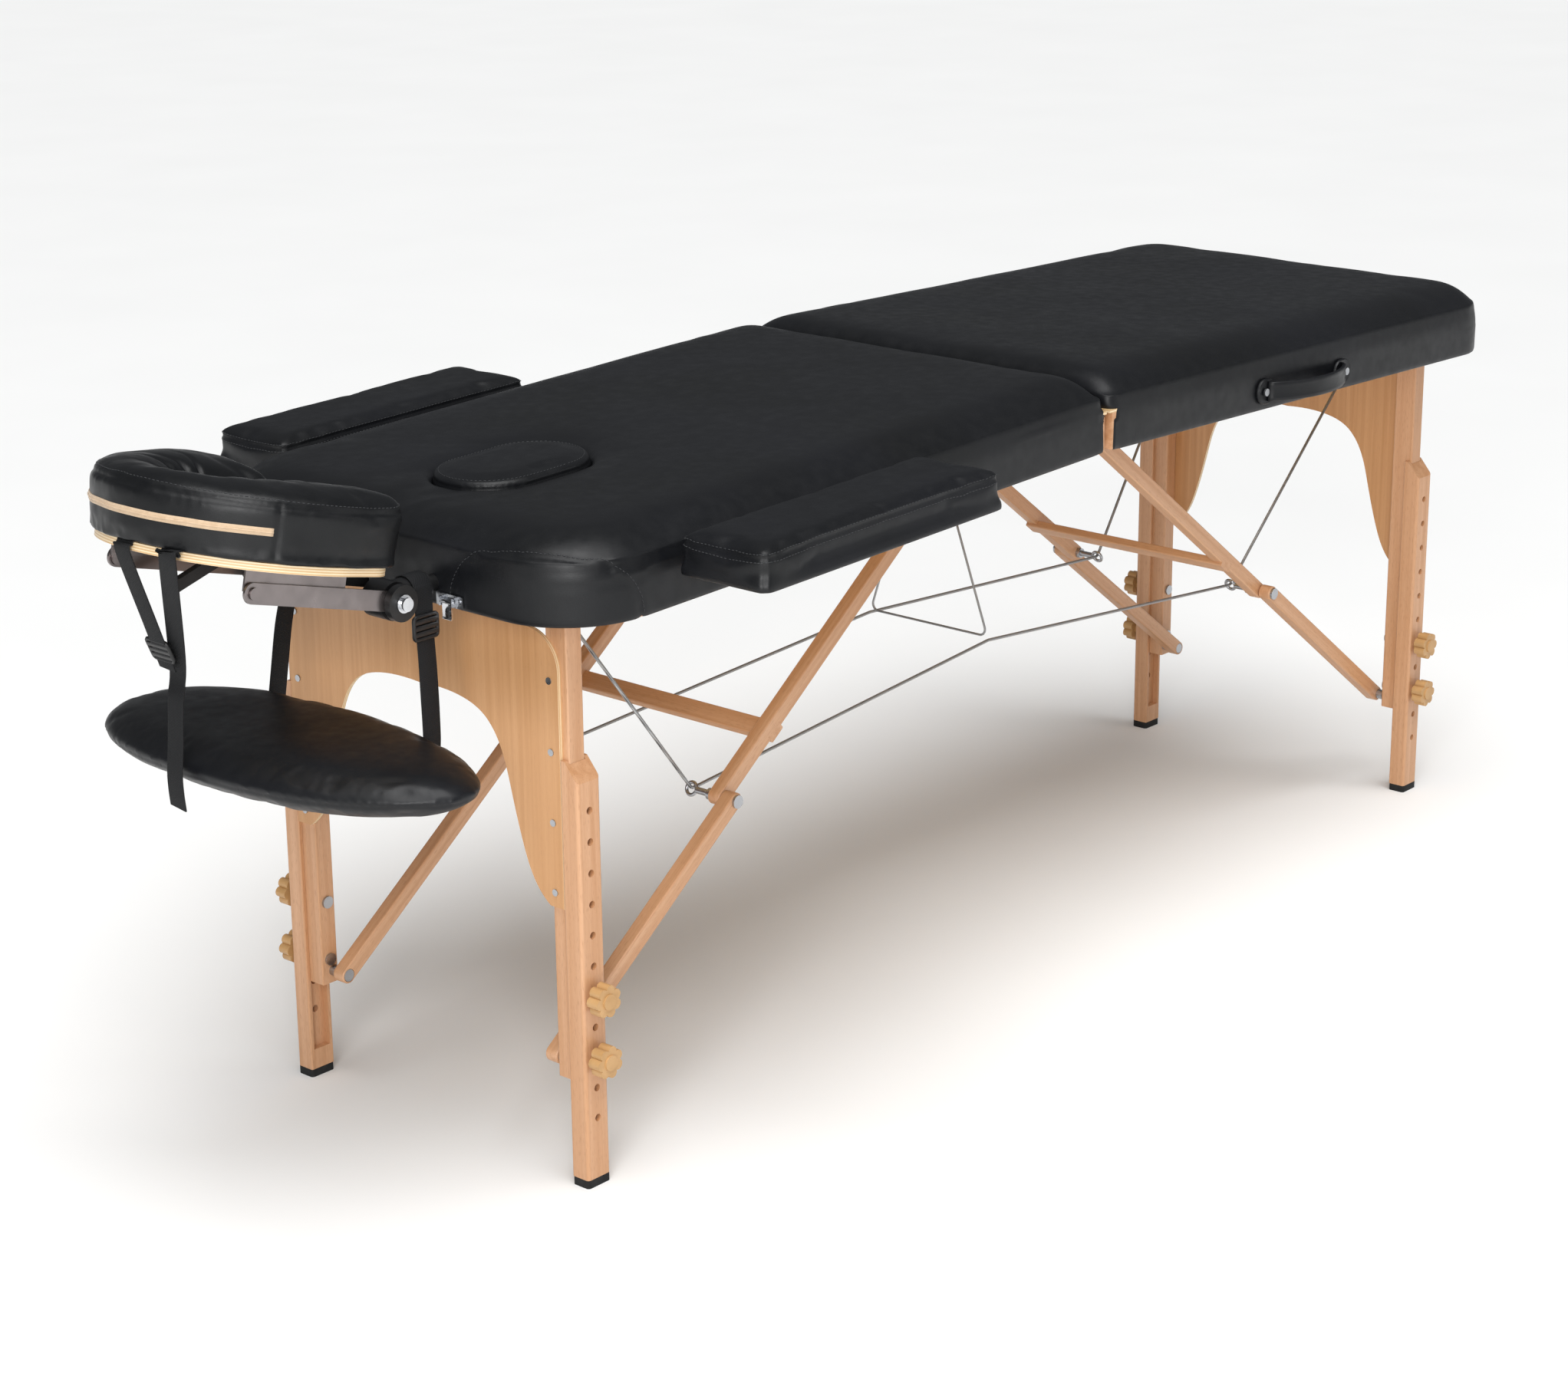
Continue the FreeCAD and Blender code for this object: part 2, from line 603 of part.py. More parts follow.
def eye_bolt():
    """Eye bolt through the upper brace; its ring leads the cable."""
    x, z = G["C"]
    shank = rod_y(x, z, BOLT_R, EYE_Y + 8, UPPER_IN_Y + BRACE_T)
    nut = rod_y(x, z, 7, UPPER_IN_Y - 6, UPPER_IN_Y)
    tilt = math.radians(EYE_TILT)
    ring = Part.makeTorus(7.5, 2.2, V(x, EYE_Y, z), V(math.cos(tilt), 0, math.sin(tilt)))
    return fuse([shank, nut, ring])


# ---- cables ------------------------------------------------------------------------------
def main_cable():
    """Near-side or far-side cable, made at +Y: deck hook, eye, centre join, eye, deck hook."""
    x, z = slope_point(LEG_X - 14, DECK_Z - 17)
    cx, cz = G["C"]
    points = [(x, 153, z), (cx, EYE_Y, cz), CABLE_JOIN, (-cx, EYE_Y, cz), (-x, 153, z)]
    return tube(points, CABLE_R, 12)


def centre_wire():
    """V-shaped wire from the fold down to the two cables, closed by a cross wire."""
    x, y, z = CABLE_JOIN
    lift = 2 * CABLE_R + 0.4
    top = (20, 0, FOLD_Z - 12)
    loop = [(top[0], 4, top[2]), (x, y - 2, z + lift), (x, -y + 2, z + lift), (top[0], -4, top[2])]
    return tube(loop, 1.5, 9)


# ---- armrests ----------------------------------------------------------------------------
def armrest_frame():
    """Board, two blocks and two rods of the far armrest, head side after mirroring."""
    z = RAIL_Z + ARM_BASE
    board = box(ARM_NEAR, ARM_NEAR + ARM_LENGTH, ARM_IN_Y, ARM_IN_Y + ARM_WIDTH, z, z + ARM_BOARD)
    corners = [e for e in board.Edges if e.BoundBox.ZLength > 5]
    parts = [board.makeFillet(10, corners)]
    for x in ARM_RODS:
        parts.append(box(x - 18, x + 18, ARM_IN_Y + 2, ARM_IN_Y + 34, RAIL_Z + 11, z))
        parts.append(rod_y(x, RAIL_Z + ROD_RISE, ARM_ROD_R, ARM_ROD_IN_Y, ARM_IN_Y + 30))
    return fuse(parts)


def armrest_pad():
    z = RAIL_Z + ARM_BASE + ARM_BOARD
    top = z + ARM_PAD
    body = box(ARM_NEAR - 4, ARM_NEAR + ARM_LENGTH + 4, ARM_IN_Y - 3, ARM_IN_Y + ARM_WIDTH + 4,
               z, top)
    body = body.makeFillet(14, [e for e in body.Edges if e.BoundBox.ZLength > 5])
    return body.makeFillet(7, top_edges(body, top))


# ---- latches and handle ------------------------------------------------------------------
LATCH_Y = 115.0
LATCH_PIN_R = 1.5


def latch_pin_point():
    """Lever pin of a case latch, level foot-side (x, z)."""
    return (HALF_LENGTH + 6.0, RAIL_Z + 8)


def latch_base():
    """Case latch body at the end rail's lower edge: a plate with two cheeks for the pin."""
    x = HALF_LENGTH + 1.0
    z = RAIL_Z + 1
    px, pz = latch_pin_point()
    plate = box(x, x + 1.5, LATCH_Y - 20, LATCH_Y + 20, z, z + 14)
    cheeks = [box(x, x + 8, LATCH_Y + s - 1, LATCH_Y + s + 1, z + 2, z + 12) for s in (-9, 9)]
    screws = [rod_x(LATCH_Y + s, z + 8, 3, x + 1.5, x + 2.7) for s in (-15, 15)]
    bore = rod_y(px, pz, LATCH_PIN_R + RUN, LATCH_Y - 14, LATCH_Y + 14)
    return cut(fuse([plate] + cheeks + screws), [bore])


def latch_lever():
    """Thumb lever that hangs below the rail, with its cross pin."""
    px, pz = latch_pin_point()
    pin = rod_y(px, pz, LATCH_PIN_R, LATCH_Y - 10.5, LATCH_Y + 10.5)
    barrel = rod_y(px, pz, 2.6, LATCH_Y - 7.5, LATCH_Y + 7.5)
    plate = box(px - 0.8, px + 0.8, LATCH_Y - 7, LATCH_Y + 7, pz - 19, pz)
    lip = rod_y(px, pz - 19, 1.6, LATCH_Y - 7, LATCH_Y + 7)
    return fuse([pin, barrel, plate, lip])


def latch_strike():
    """Hooked plate on the foot section that a latch lever closes on."""
    x = HALF_LENGTH + 1.0
    z = RAIL_Z + 12
    return fuse([box(x, x + 1.5, LATCH_Y - 13, LATCH_Y + 13, z, z + 18),
                 box(x, x + 5, LATCH_Y - 7, LATCH_Y + 7, z + 4, z + 7)])


HANDLE_X = (345.0, 515.0)
HANDLE_BOW = 34.0


def carry_handle():
    """Bowed leather grip on the near side rail of the foot section, with a tab at each end."""
    y = HALF_WIDTH + 1.6
    z = RAIL_Z + 24
    x0, x1 = HANDLE_X
    mid = (x0 + x1) / 2
    path_in = Part.Arc(V(x0, y, z - 13), V(mid, y + HANDLE_BOW - 6, z - 13), V(x1, y, z - 13))
    path_out = Part.Arc(V(x0 - 2, y + 6, z - 13), V(mid, y + HANDLE_BOW, z - 13),
                        V(x1 + 2, y + 6, z - 13))
    edges = [path_in.toShape(), Part.LineSegment(V(x1, y, z - 13), V(x1 + 2, y + 6, z - 13)).toShape(),
             path_out.toShape(), Part.LineSegment(V(x0 - 2, y + 6, z - 13), V(x0, y, z - 13)).toShape()]
    grip = Part.Face(Part.Wire(edges)).extrude(V(0, 0, 26))
    tabs = [box(x - 20, x + 16, y, y + 5, z - 17, z + 17) for x in (x0, x1 + 4)]
    return mirror_y(fuse([grip] + tabs))


def handle_rivets():
    y = HALF_WIDTH + 1.6 + 5
    z = RAIL_Z + 24
    return mirror_y(group([rod_y(x, z, 5, y, y + 2) for x in (HANDLE_X[0] - 11, HANDLE_X[1] + 11)]))


# ---- face cradle -------------------------------------------------------------------------
def cradle_base():
    """Two rods for the end rail with the hub housings and caps that hold the arms."""
    z = RAIL_Z + ROD_RISE
    parts = []
    for side in (1, -1):
        y = side * ROD_Y
        rod = rod_x(y, z, ROD_R, HALF_LENGTH - 110, HUB_X)
        sleeve = rod_x(y, z, 16, HALF_LENGTH + 14, HUB_X - 12)
        y0, y1 = sorted((side * (CRADLE_ARM_Y - 1), side * (ROD_Y - 12)))
        hub = rod_y(HUB_X, z, 21, y0, y1)
        outside = CRADLE_ARM_Y + CRADLE_ARM_T + 0.3
        pin = rod_y(HUB_X, z, 5, *sorted((side * (outside + HUB_CAP_T + 6), side * (ROD_Y - 4))))
        cap = rod_y(HUB_X, z, HUB_CAP_R, *sorted((side * outside, side * (outside + HUB_CAP_T))))
        parts.append(fuse([rod, sleeve, hub, pin, cap]))
    return group(parts)


def hub_axis():
    x, z = slope_point(HUB_X, RAIL_Z + ROD_RISE)
    return (-x, z)


def cradle_arm(side):
    """Flat steel arm from the hub to the plate's tilt pivot."""
    y0, y1 = CRADLE_ARM_Y, CRADLE_ARM_Y + CRADLE_ARM_T
    hx, hz = hub_axis()
    body = bar(TILT_PIVOT, (hx, hz), CRADLE_ARM_H, 12, y0, y1)
    body = cut(body, [rod_y(hx, hz, 5 + RUN, y0 - 1, y1 + 1), rod_y(*TILT_PIVOT, 4 + RUN, y0 - 1, y1 + 1)])
    return body if side > 0 else mirror_y(body)


def arm_nut(side):
    """Dome nut and washer that close the hub bolt outside its cap."""
    hx, hz = hub_axis()
    y1 = CRADLE_ARM_Y + CRADLE_ARM_T + 0.3 + HUB_CAP_T
    washer = rod_y(hx, hz, 10, y1 + 0.3, y1 + 1.8)
    dome = rod_y(hx, hz, 7.5, y1 + 1.8, y1 + 7)
    nut = fuse([washer, dome]).cut(rod_y(hx, hz, 5, y1 - 1, y1 + 6))
    return nut if side > 0 else mirror_y(nut)


def tilt_plate(shape):
    """Move a shape from the plate's own level frame to its sloping place."""
    out = shape.copy()
    out.rotate(V(0, 0, 0), Y_AXIS, PLATE_SLOPE)
    out.translate(V(PLATE_POINT[0], 0, PLATE_POINT[1]))
    return out


def horseshoe(inset, z0, z1):
    """Plan of the cushion and its board: round front, open slot towards the table."""
    r = FACE_R - inset
    hole_r = FACE_HOLE_R + inset
    rear = FACE_BACK - inset
    bend = FACE_CORNER
    near = bend * (1 - math.sqrt(0.5))
    hole_x = FACE_HOLE_X

    def line(x0, y0, x1, y1):
        return Part.LineSegment(V(x0, y0, z0), V(x1, y1, z0)).toShape()

    def arc(x0, y0, x1, y1, x2, y2):
        return Part.Arc(V(x0, y0, z0), V(x1, y1, z0), V(x2, y2, z0)).toShape()

    edges = [
        line(rear, hole_r, rear, r - bend),
        arc(rear, r - bend, rear - near, r - near, rear - bend, r),
        line(rear - bend, r, FACE_FRONT, r),
        arc(FACE_FRONT, r, FACE_FRONT - r, 0, FACE_FRONT, -r),
        line(FACE_FRONT, -r, rear - bend, -r),
        arc(rear - bend, -r, rear - near, near - r, rear, bend - r),
        line(rear, bend - r, rear, -hole_r),
        line(rear, -hole_r, hole_x, -hole_r),
        arc(hole_x, -hole_r, hole_x - hole_r, 0, hole_x, hole_r),
        line(hole_x, hole_r, rear, hole_r)]
    return Part.Face(Part.Wire(edges)).extrude(V(0, 0, z1 - z0))


def cradle_plate():
    return tilt_plate(horseshoe(7.0, 0, PLATE_THICK))


def face_cushion():
    top = PLATE_THICK + 0.3 + FACE_HEIGHT
    body = horseshoe(0.0, PLATE_THICK + 0.3, top)
    body = body.makeFillet(16, top_edges(body, top))
    return tilt_plate(body)


def cradle_brackets():
    """Angle brackets under the board, with the rivets on which it tilts."""
    px, pz = TILT_PIVOT
    y1 = CRADLE_ARM_Y - 0.5
    y0 = y1 - 2.5
    parts = []
    for side in (1, -1):
        flange = box(-48, 88, y0, y1, -24, 0)
        foot = box(-48, 88, y0 - 20, y1, -2.5, 0)
        bracket = tilt_plate(fuse([flange, foot]))
        boss = rod_y(px, pz, 9, y0, y1)
        rivet = rod_y(px, pz, 4, y0, CRADLE_ARM_Y + CRADLE_ARM_T + 2.5)
        head = rod_y(px, pz, 6.5, CRADLE_ARM_Y + CRADLE_ARM_T + 0.4, CRADLE_ARM_Y + CRADLE_ARM_T + 2.5)
        stud = rod_y(*LEVER_PIVOT, LEVER_STUD_R, LEVER_IN_Y - 2, y1)
        whole = fuse([bracket, boss, rivet, head, stud])
        parts.append(whole if side > 0 else mirror_y(whole))
    return group(parts)


def cam_lever(pivot, aim, side):
    """Black clamp lever on its stud: a round cam and a flat handle."""
    y0 = LEVER_IN_Y
    y1 = y0 + LEVER_THICK
    x, z = pivot
    a = math.radians(aim)
    tip = (x + LEVER_LENGTH * math.cos(a), z + LEVER_LENGTH * math.sin(a))
    handle = bar((x, z), tip, 13, 6, y0 + 1, y1 - 1)
    lever = fuse([rod_y(x, z, 11, y0, y1), handle]).cut(rod_y(x, z, LEVER_STUD_R + RUN, y0 - 1, y1 + 1))
    return lever if side > 0 else mirror_y(lever)


# ---- sling -------------------------------------------------------------------------------
def sling_pad():
    """Lens-shaped padded shelf: a flattened ball cut to a long round-ended plan."""
    plan = oval(0, 0, 2 * SLING_HALF_L, 2 * SLING_HALF_W, -SLING_THICK / 2, SLING_THICK / 2)
    edges = [e for e in plan.Edges if e.BoundBox.ZLength < 0.01]
    body = plan.makeFillet(SLING_THICK / 2 - 1.5, edges)
    body.rotate(V(0, 0, 0), Z_AXIS, 90)
    body.rotate(V(0, 0, 0), X_AXIS, SLING_ROLL)
    body.translate(V(SLING_X, SLING_Y, SLING_Z))
    return body


def sling_straps():
    """Webbing of the sling: a forked front strap with its tail, and two straps from the hubs."""
    edge_x = SLING_X - SLING_HALF_W
    buckle = (edge_x - 2, FRONT_STRAP_Y, BUCKLE_Z)
    slope = math.radians(PLATE_SLOPE)
    parts = []
    for y, behind in zip(STRAP_TOPS, (7, 3)):
        inner_y = max(abs(y) - STRAP_W / 2, 0)
        rim = FACE_FRONT - math.sqrt((FACE_R - 7) ** 2 - inner_y ** 2) - 1.6
        top_x = PLATE_POINT[0] + rim * math.cos(slope)
        top_z = PLATE_POINT[1] - rim * math.sin(slope)
        route = [(top_x + 1.5, y, top_z + 7), (top_x, y, top_z - 4),
                 (buckle[0] + behind, buckle[1] + (y - buckle[1]) * 0.25, buckle[2] + 4)]
        parts.append(ribbon(route, (0, 1, 0), STRAP_W, STRAP_T))
    tail = [(buckle[0], buckle[1], buckle[2] - 2), (edge_x - 6, FRONT_STRAP_Y, SLING_Z),
            (edge_x, FRONT_STRAP_Y, SLING_Z - 42)]
    parts.append(ribbon(tail, (0, 1, 0), STRAP_W, STRAP_T))
    parts.append(box(buckle[0] - 6, buckle[0] - 2, FRONT_STRAP_Y - 14, FRONT_STRAP_Y + 14,
                     BUCKLE_Z - 14, BUCKLE_Z + 8))
    hang_x = -(HALF_LENGTH + 14 + STRAP_W / 2 + 4)
    y_top = ROD_Y + 17.2
    for side in (1, -1):
        route = [(hang_x, side * y_top, 690), (hang_x, side * y_top, 618),
                 (hang_x, side * REAR_STRAP_Y, SLING_Z + 26)]
        parts.append(ribbon(route, (1, 0, 0), STRAP_W, STRAP_T))
        y0, y1 = sorted((side * (y_top + 1.2), side * (y_top + 5.2)))
        parts.append(box(hang_x - 16, hang_x + 16, y0, y1, 626, 648))
    return parts


# ---- assembly ----------------------------------------------------------------------------
def build():
    nodes = {}

    def add(name, shape):
        nodes[name] = shape

    add("head_frame", mirror_x(sloped(frame_rails(HEAD_CORNER, ARM_RODS, (-ROD_Y, ROD_Y)))))
    add("foot_frame", sloped(frame_rails(FOOT_CORNER, (), (-ROD_Y, ROD_Y))))
    add("head_deck", mirror_x(sloped(deck(HEAD_CORNER, True))))
    add("foot_deck", sloped(deck(FOOT_CORNER, False)))
    add("head_pad", mirror_x(sloped(pad(HEAD_CORNER, True))))
    add("foot_pad", sloped(pad(FOOT_CORNER, False)))
    add("breath_plug", mirror_x(sloped(breath_plug())))
    add("head_fittings", mirror_x(group([section_fittings(0), sloped(both_y(latch_base()))])))
    add("foot_fittings", group([section_fittings(1), sloped(both_y(latch_strike())),
                                sloped(handle_rivets())]))
    add("fold_hinge_pins", fold_hinge_pins())
    add("support_cables", group([both_y(main_cable()), centre_wire()]))

    for end, place in (("head", mirror_x), ("foot", lambda s: s)):
        add(end + "_upper_legs", place(both_y(upper_leg())))
        add(end + "_end_panel", place(end_panel()))
        add(end + "_leg_fasteners", place(both_y(leg_fasteners())))
        add(end + "_upper_braces", place(both_y(upper_brace())))
        add(end + "_crossbar", place(crossbar()))
        add(end + "_eye_bolts", place(both_y(eye_bolt())))
        add(end + "_lower_braces", place(both_y(group([lower_brace()]))))
        add(end + "_knuckle_bolts", place(both_y(knuckle_bolt())))
        for side, flip in (("near", mirror_y), ("far", lambda s: s)):
            leg = end + "_" + side
            add(leg + "_extension", place(flip(extension())))
            add(leg + "_foot", place(flip(rubber_foot())))
            for level, i in zip(("lower", "upper"), KNOB_HOLES):
                add(leg + "_" + level + "_knob", place(flip(knob(hole_z(i)))))

    for side, flip in (("near", mirror_y), ("far", lambda s: s)):
        add("armrest_frame_" + side, flip(mirror_x(sloped(armrest_frame()))))
        add("armrest_pad_" + side, flip(mirror_x(sloped(armrest_pad()))))
        add("latch_lever_" + side, flip(mirror_x(sloped(latch_lever()))))
    add("carry_handle", sloped(carry_handle()))

    add("cradle_base", mirror_x(sloped(cradle_base())))
    add("cradle_arms", group([cradle_arm(1), cradle_arm(-1)]))
    add("cradle_nuts", group([arm_nut(1), arm_nut(-1)]))
    add("cradle_plate", cradle_plate())
    add("cradle_brackets", cradle_brackets())
    add("clamp_lever_near", cam_lever(LEVER_PIVOT, -16, -1))
    add("clamp_lever_far", cam_lever(LEVER_PIVOT, 196, 1))
    add("face_cushion", face_cushion())
    add("sling_pad", sling_pad())
    add("sling_straps", group(sling_straps()))
    return nodes


def main():
    os.makedirs("parts", exist_ok=True)
    for name, shape in build().items():
        shape.translate(V(ORIGIN_SHIFT, 0, 0))
        shape.exportStep("parts/" + name + ".step")


main()
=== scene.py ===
import math

import bmesh
import bpy
import numpy as np
from mathutils import Matrix, Vector, noise
from mathutils.bvhtree import BVHTree
from mathutils.kdtree import KDTree


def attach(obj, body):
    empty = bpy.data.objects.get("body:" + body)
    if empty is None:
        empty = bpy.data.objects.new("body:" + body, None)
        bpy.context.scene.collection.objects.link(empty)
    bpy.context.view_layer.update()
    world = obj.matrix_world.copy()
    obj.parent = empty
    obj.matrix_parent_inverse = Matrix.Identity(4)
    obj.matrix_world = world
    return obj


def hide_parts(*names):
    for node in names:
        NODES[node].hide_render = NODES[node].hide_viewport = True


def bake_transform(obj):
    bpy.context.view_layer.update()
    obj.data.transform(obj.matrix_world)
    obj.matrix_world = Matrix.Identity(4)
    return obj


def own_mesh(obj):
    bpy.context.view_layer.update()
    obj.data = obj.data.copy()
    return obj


# The looks of a portable massage table around its CAD frame. Metres, in the CAD's own frame:
# +X from the head end to the foot end, +Y to the far side, +Z up.

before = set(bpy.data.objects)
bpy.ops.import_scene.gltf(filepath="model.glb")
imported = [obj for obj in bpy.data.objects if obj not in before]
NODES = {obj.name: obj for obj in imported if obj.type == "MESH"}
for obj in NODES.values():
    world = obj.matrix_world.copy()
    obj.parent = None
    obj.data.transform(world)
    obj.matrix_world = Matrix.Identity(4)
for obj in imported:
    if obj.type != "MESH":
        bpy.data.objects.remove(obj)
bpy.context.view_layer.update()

# ---- sizes and places
FOLD = Vector((0.165, 0.0, 0.687))       # hinge axis between the two bed sections
BED_SLOPE = math.radians(1.5)            # each section falls towards its end
SECTION_LENGTH = 0.927
SECTION_HALF = 0.303
HEAD_CORNER = 0.105
FOOT_CORNER = 0.072
COVER_LOW = -0.0004                      # lower edge of the covers, from the hinge axis
PAD_LOW = 0.052
PAD_TOP = 0.093
LIP = 0.016                              # the cover is turned in under the rails by this much
SKIRT_TOP = 0.041
FOLD_SHY = 0.0052                        # the covers' gap beside the hinge, below the deck
FOLD_LIFT = 0.0010                       # the covers' lower edge rises this much at the fold
BOARD_SHY = 0.0012                       # how far a seam may press a cover in beside the boards

BREATH_CENTRE = (-0.713, 0.005)
BREATH_LENGTH = 0.198
BREATH_WIDTH = 0.134

PLATE_POINT = Vector((-0.983, 0.0, 0.754))   # face cradle board, its own level frame
PLATE_SLOPE = math.radians(12.5)
FACE_LOW = 0.0093
FACE_TOP = 0.0753
FACE_R = 0.165
FACE_BACK = 0.115
FACE_FRONT = 0.045
FACE_CORNER = 0.026
FACE_HOLE_R = 0.052
FACE_HOLE_X = 0.010
ZIP_END = math.radians(121.5)            # where the zipper stops, round from the cushion's rear

SWELL_FRAMES = 20
THREAD = 0.00045                         # radius of the sewing thread

UP = Vector((0, 0, 1))
SCENE = bpy.context.scene


def section_place(side):
    """Puts a level bed section in its place: fold line at x = 0, hinge axis at z = 0."""
    return Matrix.Translation(FOLD) @ Matrix.Rotation(side * BED_SLOPE, 4, "Y")


PLATE_PLACE = Matrix.Translation(PLATE_POINT) @ Matrix.Rotation(PLATE_SLOPE, 4, "Y")


# ---- camera
def make_camera():
    data = bpy.data.cameras.new("camera")
    data.sensor_width = 36.0
    data.sensor_fit = "HORIZONTAL"
    data.lens = 76.996
    data.clip_end = 400.0
    camera = bpy.data.objects.new("camera", data)
    turn = Vector((1.74959498, -0.798503053, 0.569742133))
    rows = Matrix.Rotation(turn.length, 3, turn.normalized())
    flip = Matrix.Diagonal((1.0, -1.0, -1.0))
    camera.matrix_world = Matrix.Translation((-3.0978, -2.6516, 1.6738)) @ (flip @ rows).transposed().to_4x4()
    SCENE.collection.objects.link(camera)
    SCENE.camera = camera


make_camera()


# ---- materials
def colour(code):
    """A linear colour from a web colour."""
    parts = [int(code[i:i + 2], 16) / 255 for i in (1, 3, 5)]
    return tuple(((c + 0.055) / 1.055) ** 2.4 if c > 0.04045 else c / 12.92 for c in parts) + (1.0,)


class Shade:
    """A material under construction. Its calls add nodes and return their sockets."""

    def __init__(self, name, **surface):
        self.material = bpy.data.materials.new(name)
        self.material.use_nodes = True
        self.tree = self.material.node_tree
        self.surface = self.tree.nodes["Principled BSDF"]
        self.put(self.surface, surface)
        coordinates = self.tree.nodes.new("ShaderNodeTexCoord")
        self.place = coordinates.outputs["Object"]
        self.facing = coordinates.outputs["Normal"]

    def feed(self, socket, value):
        if isinstance(value, bpy.types.NodeSocket):
            self.tree.links.new(value, socket)
        else:
            socket.default_value = value

    def put(self, node, inputs):
        for key, value in inputs.items():
            self.feed(node.inputs[key.replace("_", " ")], value)

    def add(self, kind, settings=None, **inputs):
        node = self.tree.nodes.new("ShaderNode" + kind)
        for key, value in (settings or {}).items():
            setattr(node, key, value)
        self.put(node, inputs)
        return node

    def noise(self, scale, detail=2.0, vector=None, rough=0.5, distortion=0.0):
        node = self.add("TexNoise", Vector=vector or self.place, Scale=scale, Detail=detail,
                        Roughness=rough, Distortion=distortion)
        return node.outputs[0]

    def turned(self, along, offset=(0.0, 0.0, 0.0)):
        """Coordinates whose Z runs along a direction of the object."""
        angles = tuple(Vector(along).to_track_quat("Z", "Y").to_euler())
        return self.add("Mapping", {"vector_type": "TEXTURE"}, Vector=self.place, Location=offset,
                        Rotation=angles).outputs[0]

    def scaled(self, vector, x, y, z):
        return self.add("Mapping", Vector=vector, Scale=(x, y, z)).outputs[0]

    def math(self, operation, a, b=0.0, c=0.0):
        node = self.add("Math", {"operation": operation})
        for socket, value in zip(node.inputs, (a, b, c)):
            self.feed(socket, value)
        return node.outputs[0]

    def dot(self, vector, direction):
        node = self.add("VectorMath", {"operation": "DOT_PRODUCT"})
        self.feed(node.inputs[0], vector)
        self.feed(node.inputs[1], direction)
        return node.outputs["Value"]

    def ramp(self, factor, *stops):
        node = self.add("ValToRGB", Fac=factor)
        elements = node.color_ramp.elements
        while len(elements) < len(stops):
            elements.new(0.5)
        for element, (position, value) in zip(elements, stops):
            element.position = position
            element.color = value if isinstance(value, tuple) else (value, value, value, 1.0)
        return node.outputs["Color"]

    def mix(self, factor, a, b, blend="MIX"):
        node = self.add("Mix", {"data_type": "RGBA", "blend_type": blend})
        for index, value in ((0, factor), (6, a), (7, b)):
            self.feed(node.inputs[index], value)
        return node.outputs[2]

    def bump(self, height, distance, strength=1.0, under=None):
        inputs = {"Height": height, "Distance": distance, "Strength": strength}
        if under is not None:
            inputs["Normal"] = under
        return self.add("Bump", **inputs).outputs[0]

    def done(self, **surface):
        self.put(self.surface, surface)
        return self.material


def leather(name, dark, light, rough=(0.36, 0.48)):
    """Soft polyurethane cover: fine pebble with painted shade in its hollows, slow creases, a satin sheen
    that changes a little.
    """
    s = Shade(name, Specular_IOR_Level=0.33)
    cells = s.add("TexVoronoi", {"feature": "DISTANCE_TO_EDGE"}, Vector=s.place, Scale=620.0)
    pebble = s.ramp(cells.outputs["Distance"], (0.0, 0.0), (0.25, 1.0))
    creases = s.noise(26.0, 3.0, rough=0.5, distortion=0.6)
    slow = s.noise(5.0, 2.0)
    low = s.bump(creases, 0.0008, 0.25)
    fine = s.bump(pebble, 0.0001, 0.25, low)
    base = s.mix(s.ramp(slow, (0.35, 0.0), (0.7, 1.0)), colour(dark), colour(light))
    # The pebble's hollows are painted darker: painted shade in the grain.
    base = s.mix(s.ramp(pebble, (0.0, 0.5), (0.6, 0.0)), base, colour("#0b0c0d"))
    gloss = s.ramp(s.noise(60.0, 3.0), (0.3, rough[0]), (0.7, rough[1]))
    return s.done(Base_Color=base, Roughness=gloss, Normal=fine)


def wood_colour(s, along, pale, dark, offset, fleck):
    """Lengthwise bands, fine fibres and short dark flecks, as (colour, fibre height)."""
    grain = s.turned(along, offset)
    broad = s.noise(1.0, 2.0, s.scaled(grain, 14, 14, 1.1), distortion=0.3)
    bands = s.noise(1.0, 3.0, s.scaled(grain, 120, 120, 2.4), distortion=0.5)
    fibres = s.noise(1.0, 2.0, s.scaled(grain, 900, 900, 16))
    dashes = s.noise(1.0, 0.0, s.scaled(grain, 1100, 1100, 110))
    tone = s.mix(s.ramp(bands, (0.34, 0.0), (0.68, 1.0)), colour(pale), colour(dark))
    tone = s.mix(s.ramp(broad, (0.3, 0.0), (0.75, 0.45)), tone, colour(dark))
    tone = s.mix(s.ramp(fibres, (0.35, 0.22), (0.6, 0.0)), tone, colour(dark))
    tone = s.mix(s.ramp(dashes, (0.62, 0.0), (0.74, fleck)), tone, colour("#99683f"))
    return tone, fibres


BEECH = ("#d3a580", "#bf8c62")           # pale and dark


def beech(name, along, offset):
    """Lacquered solid beech."""
    s = Shade(name, Coat_Weight=0.25, Coat_Roughness=0.28)
    tone, fibres = wood_colour(s, along, *BEECH, offset, 0.3)
    gloss = s.ramp(fibres, (0.3, 0.5), (0.7, 0.38))
    return s.done(Base_Color=tone, Roughness=gloss, Normal=s.bump(fibres, 0.0002, 0.3))


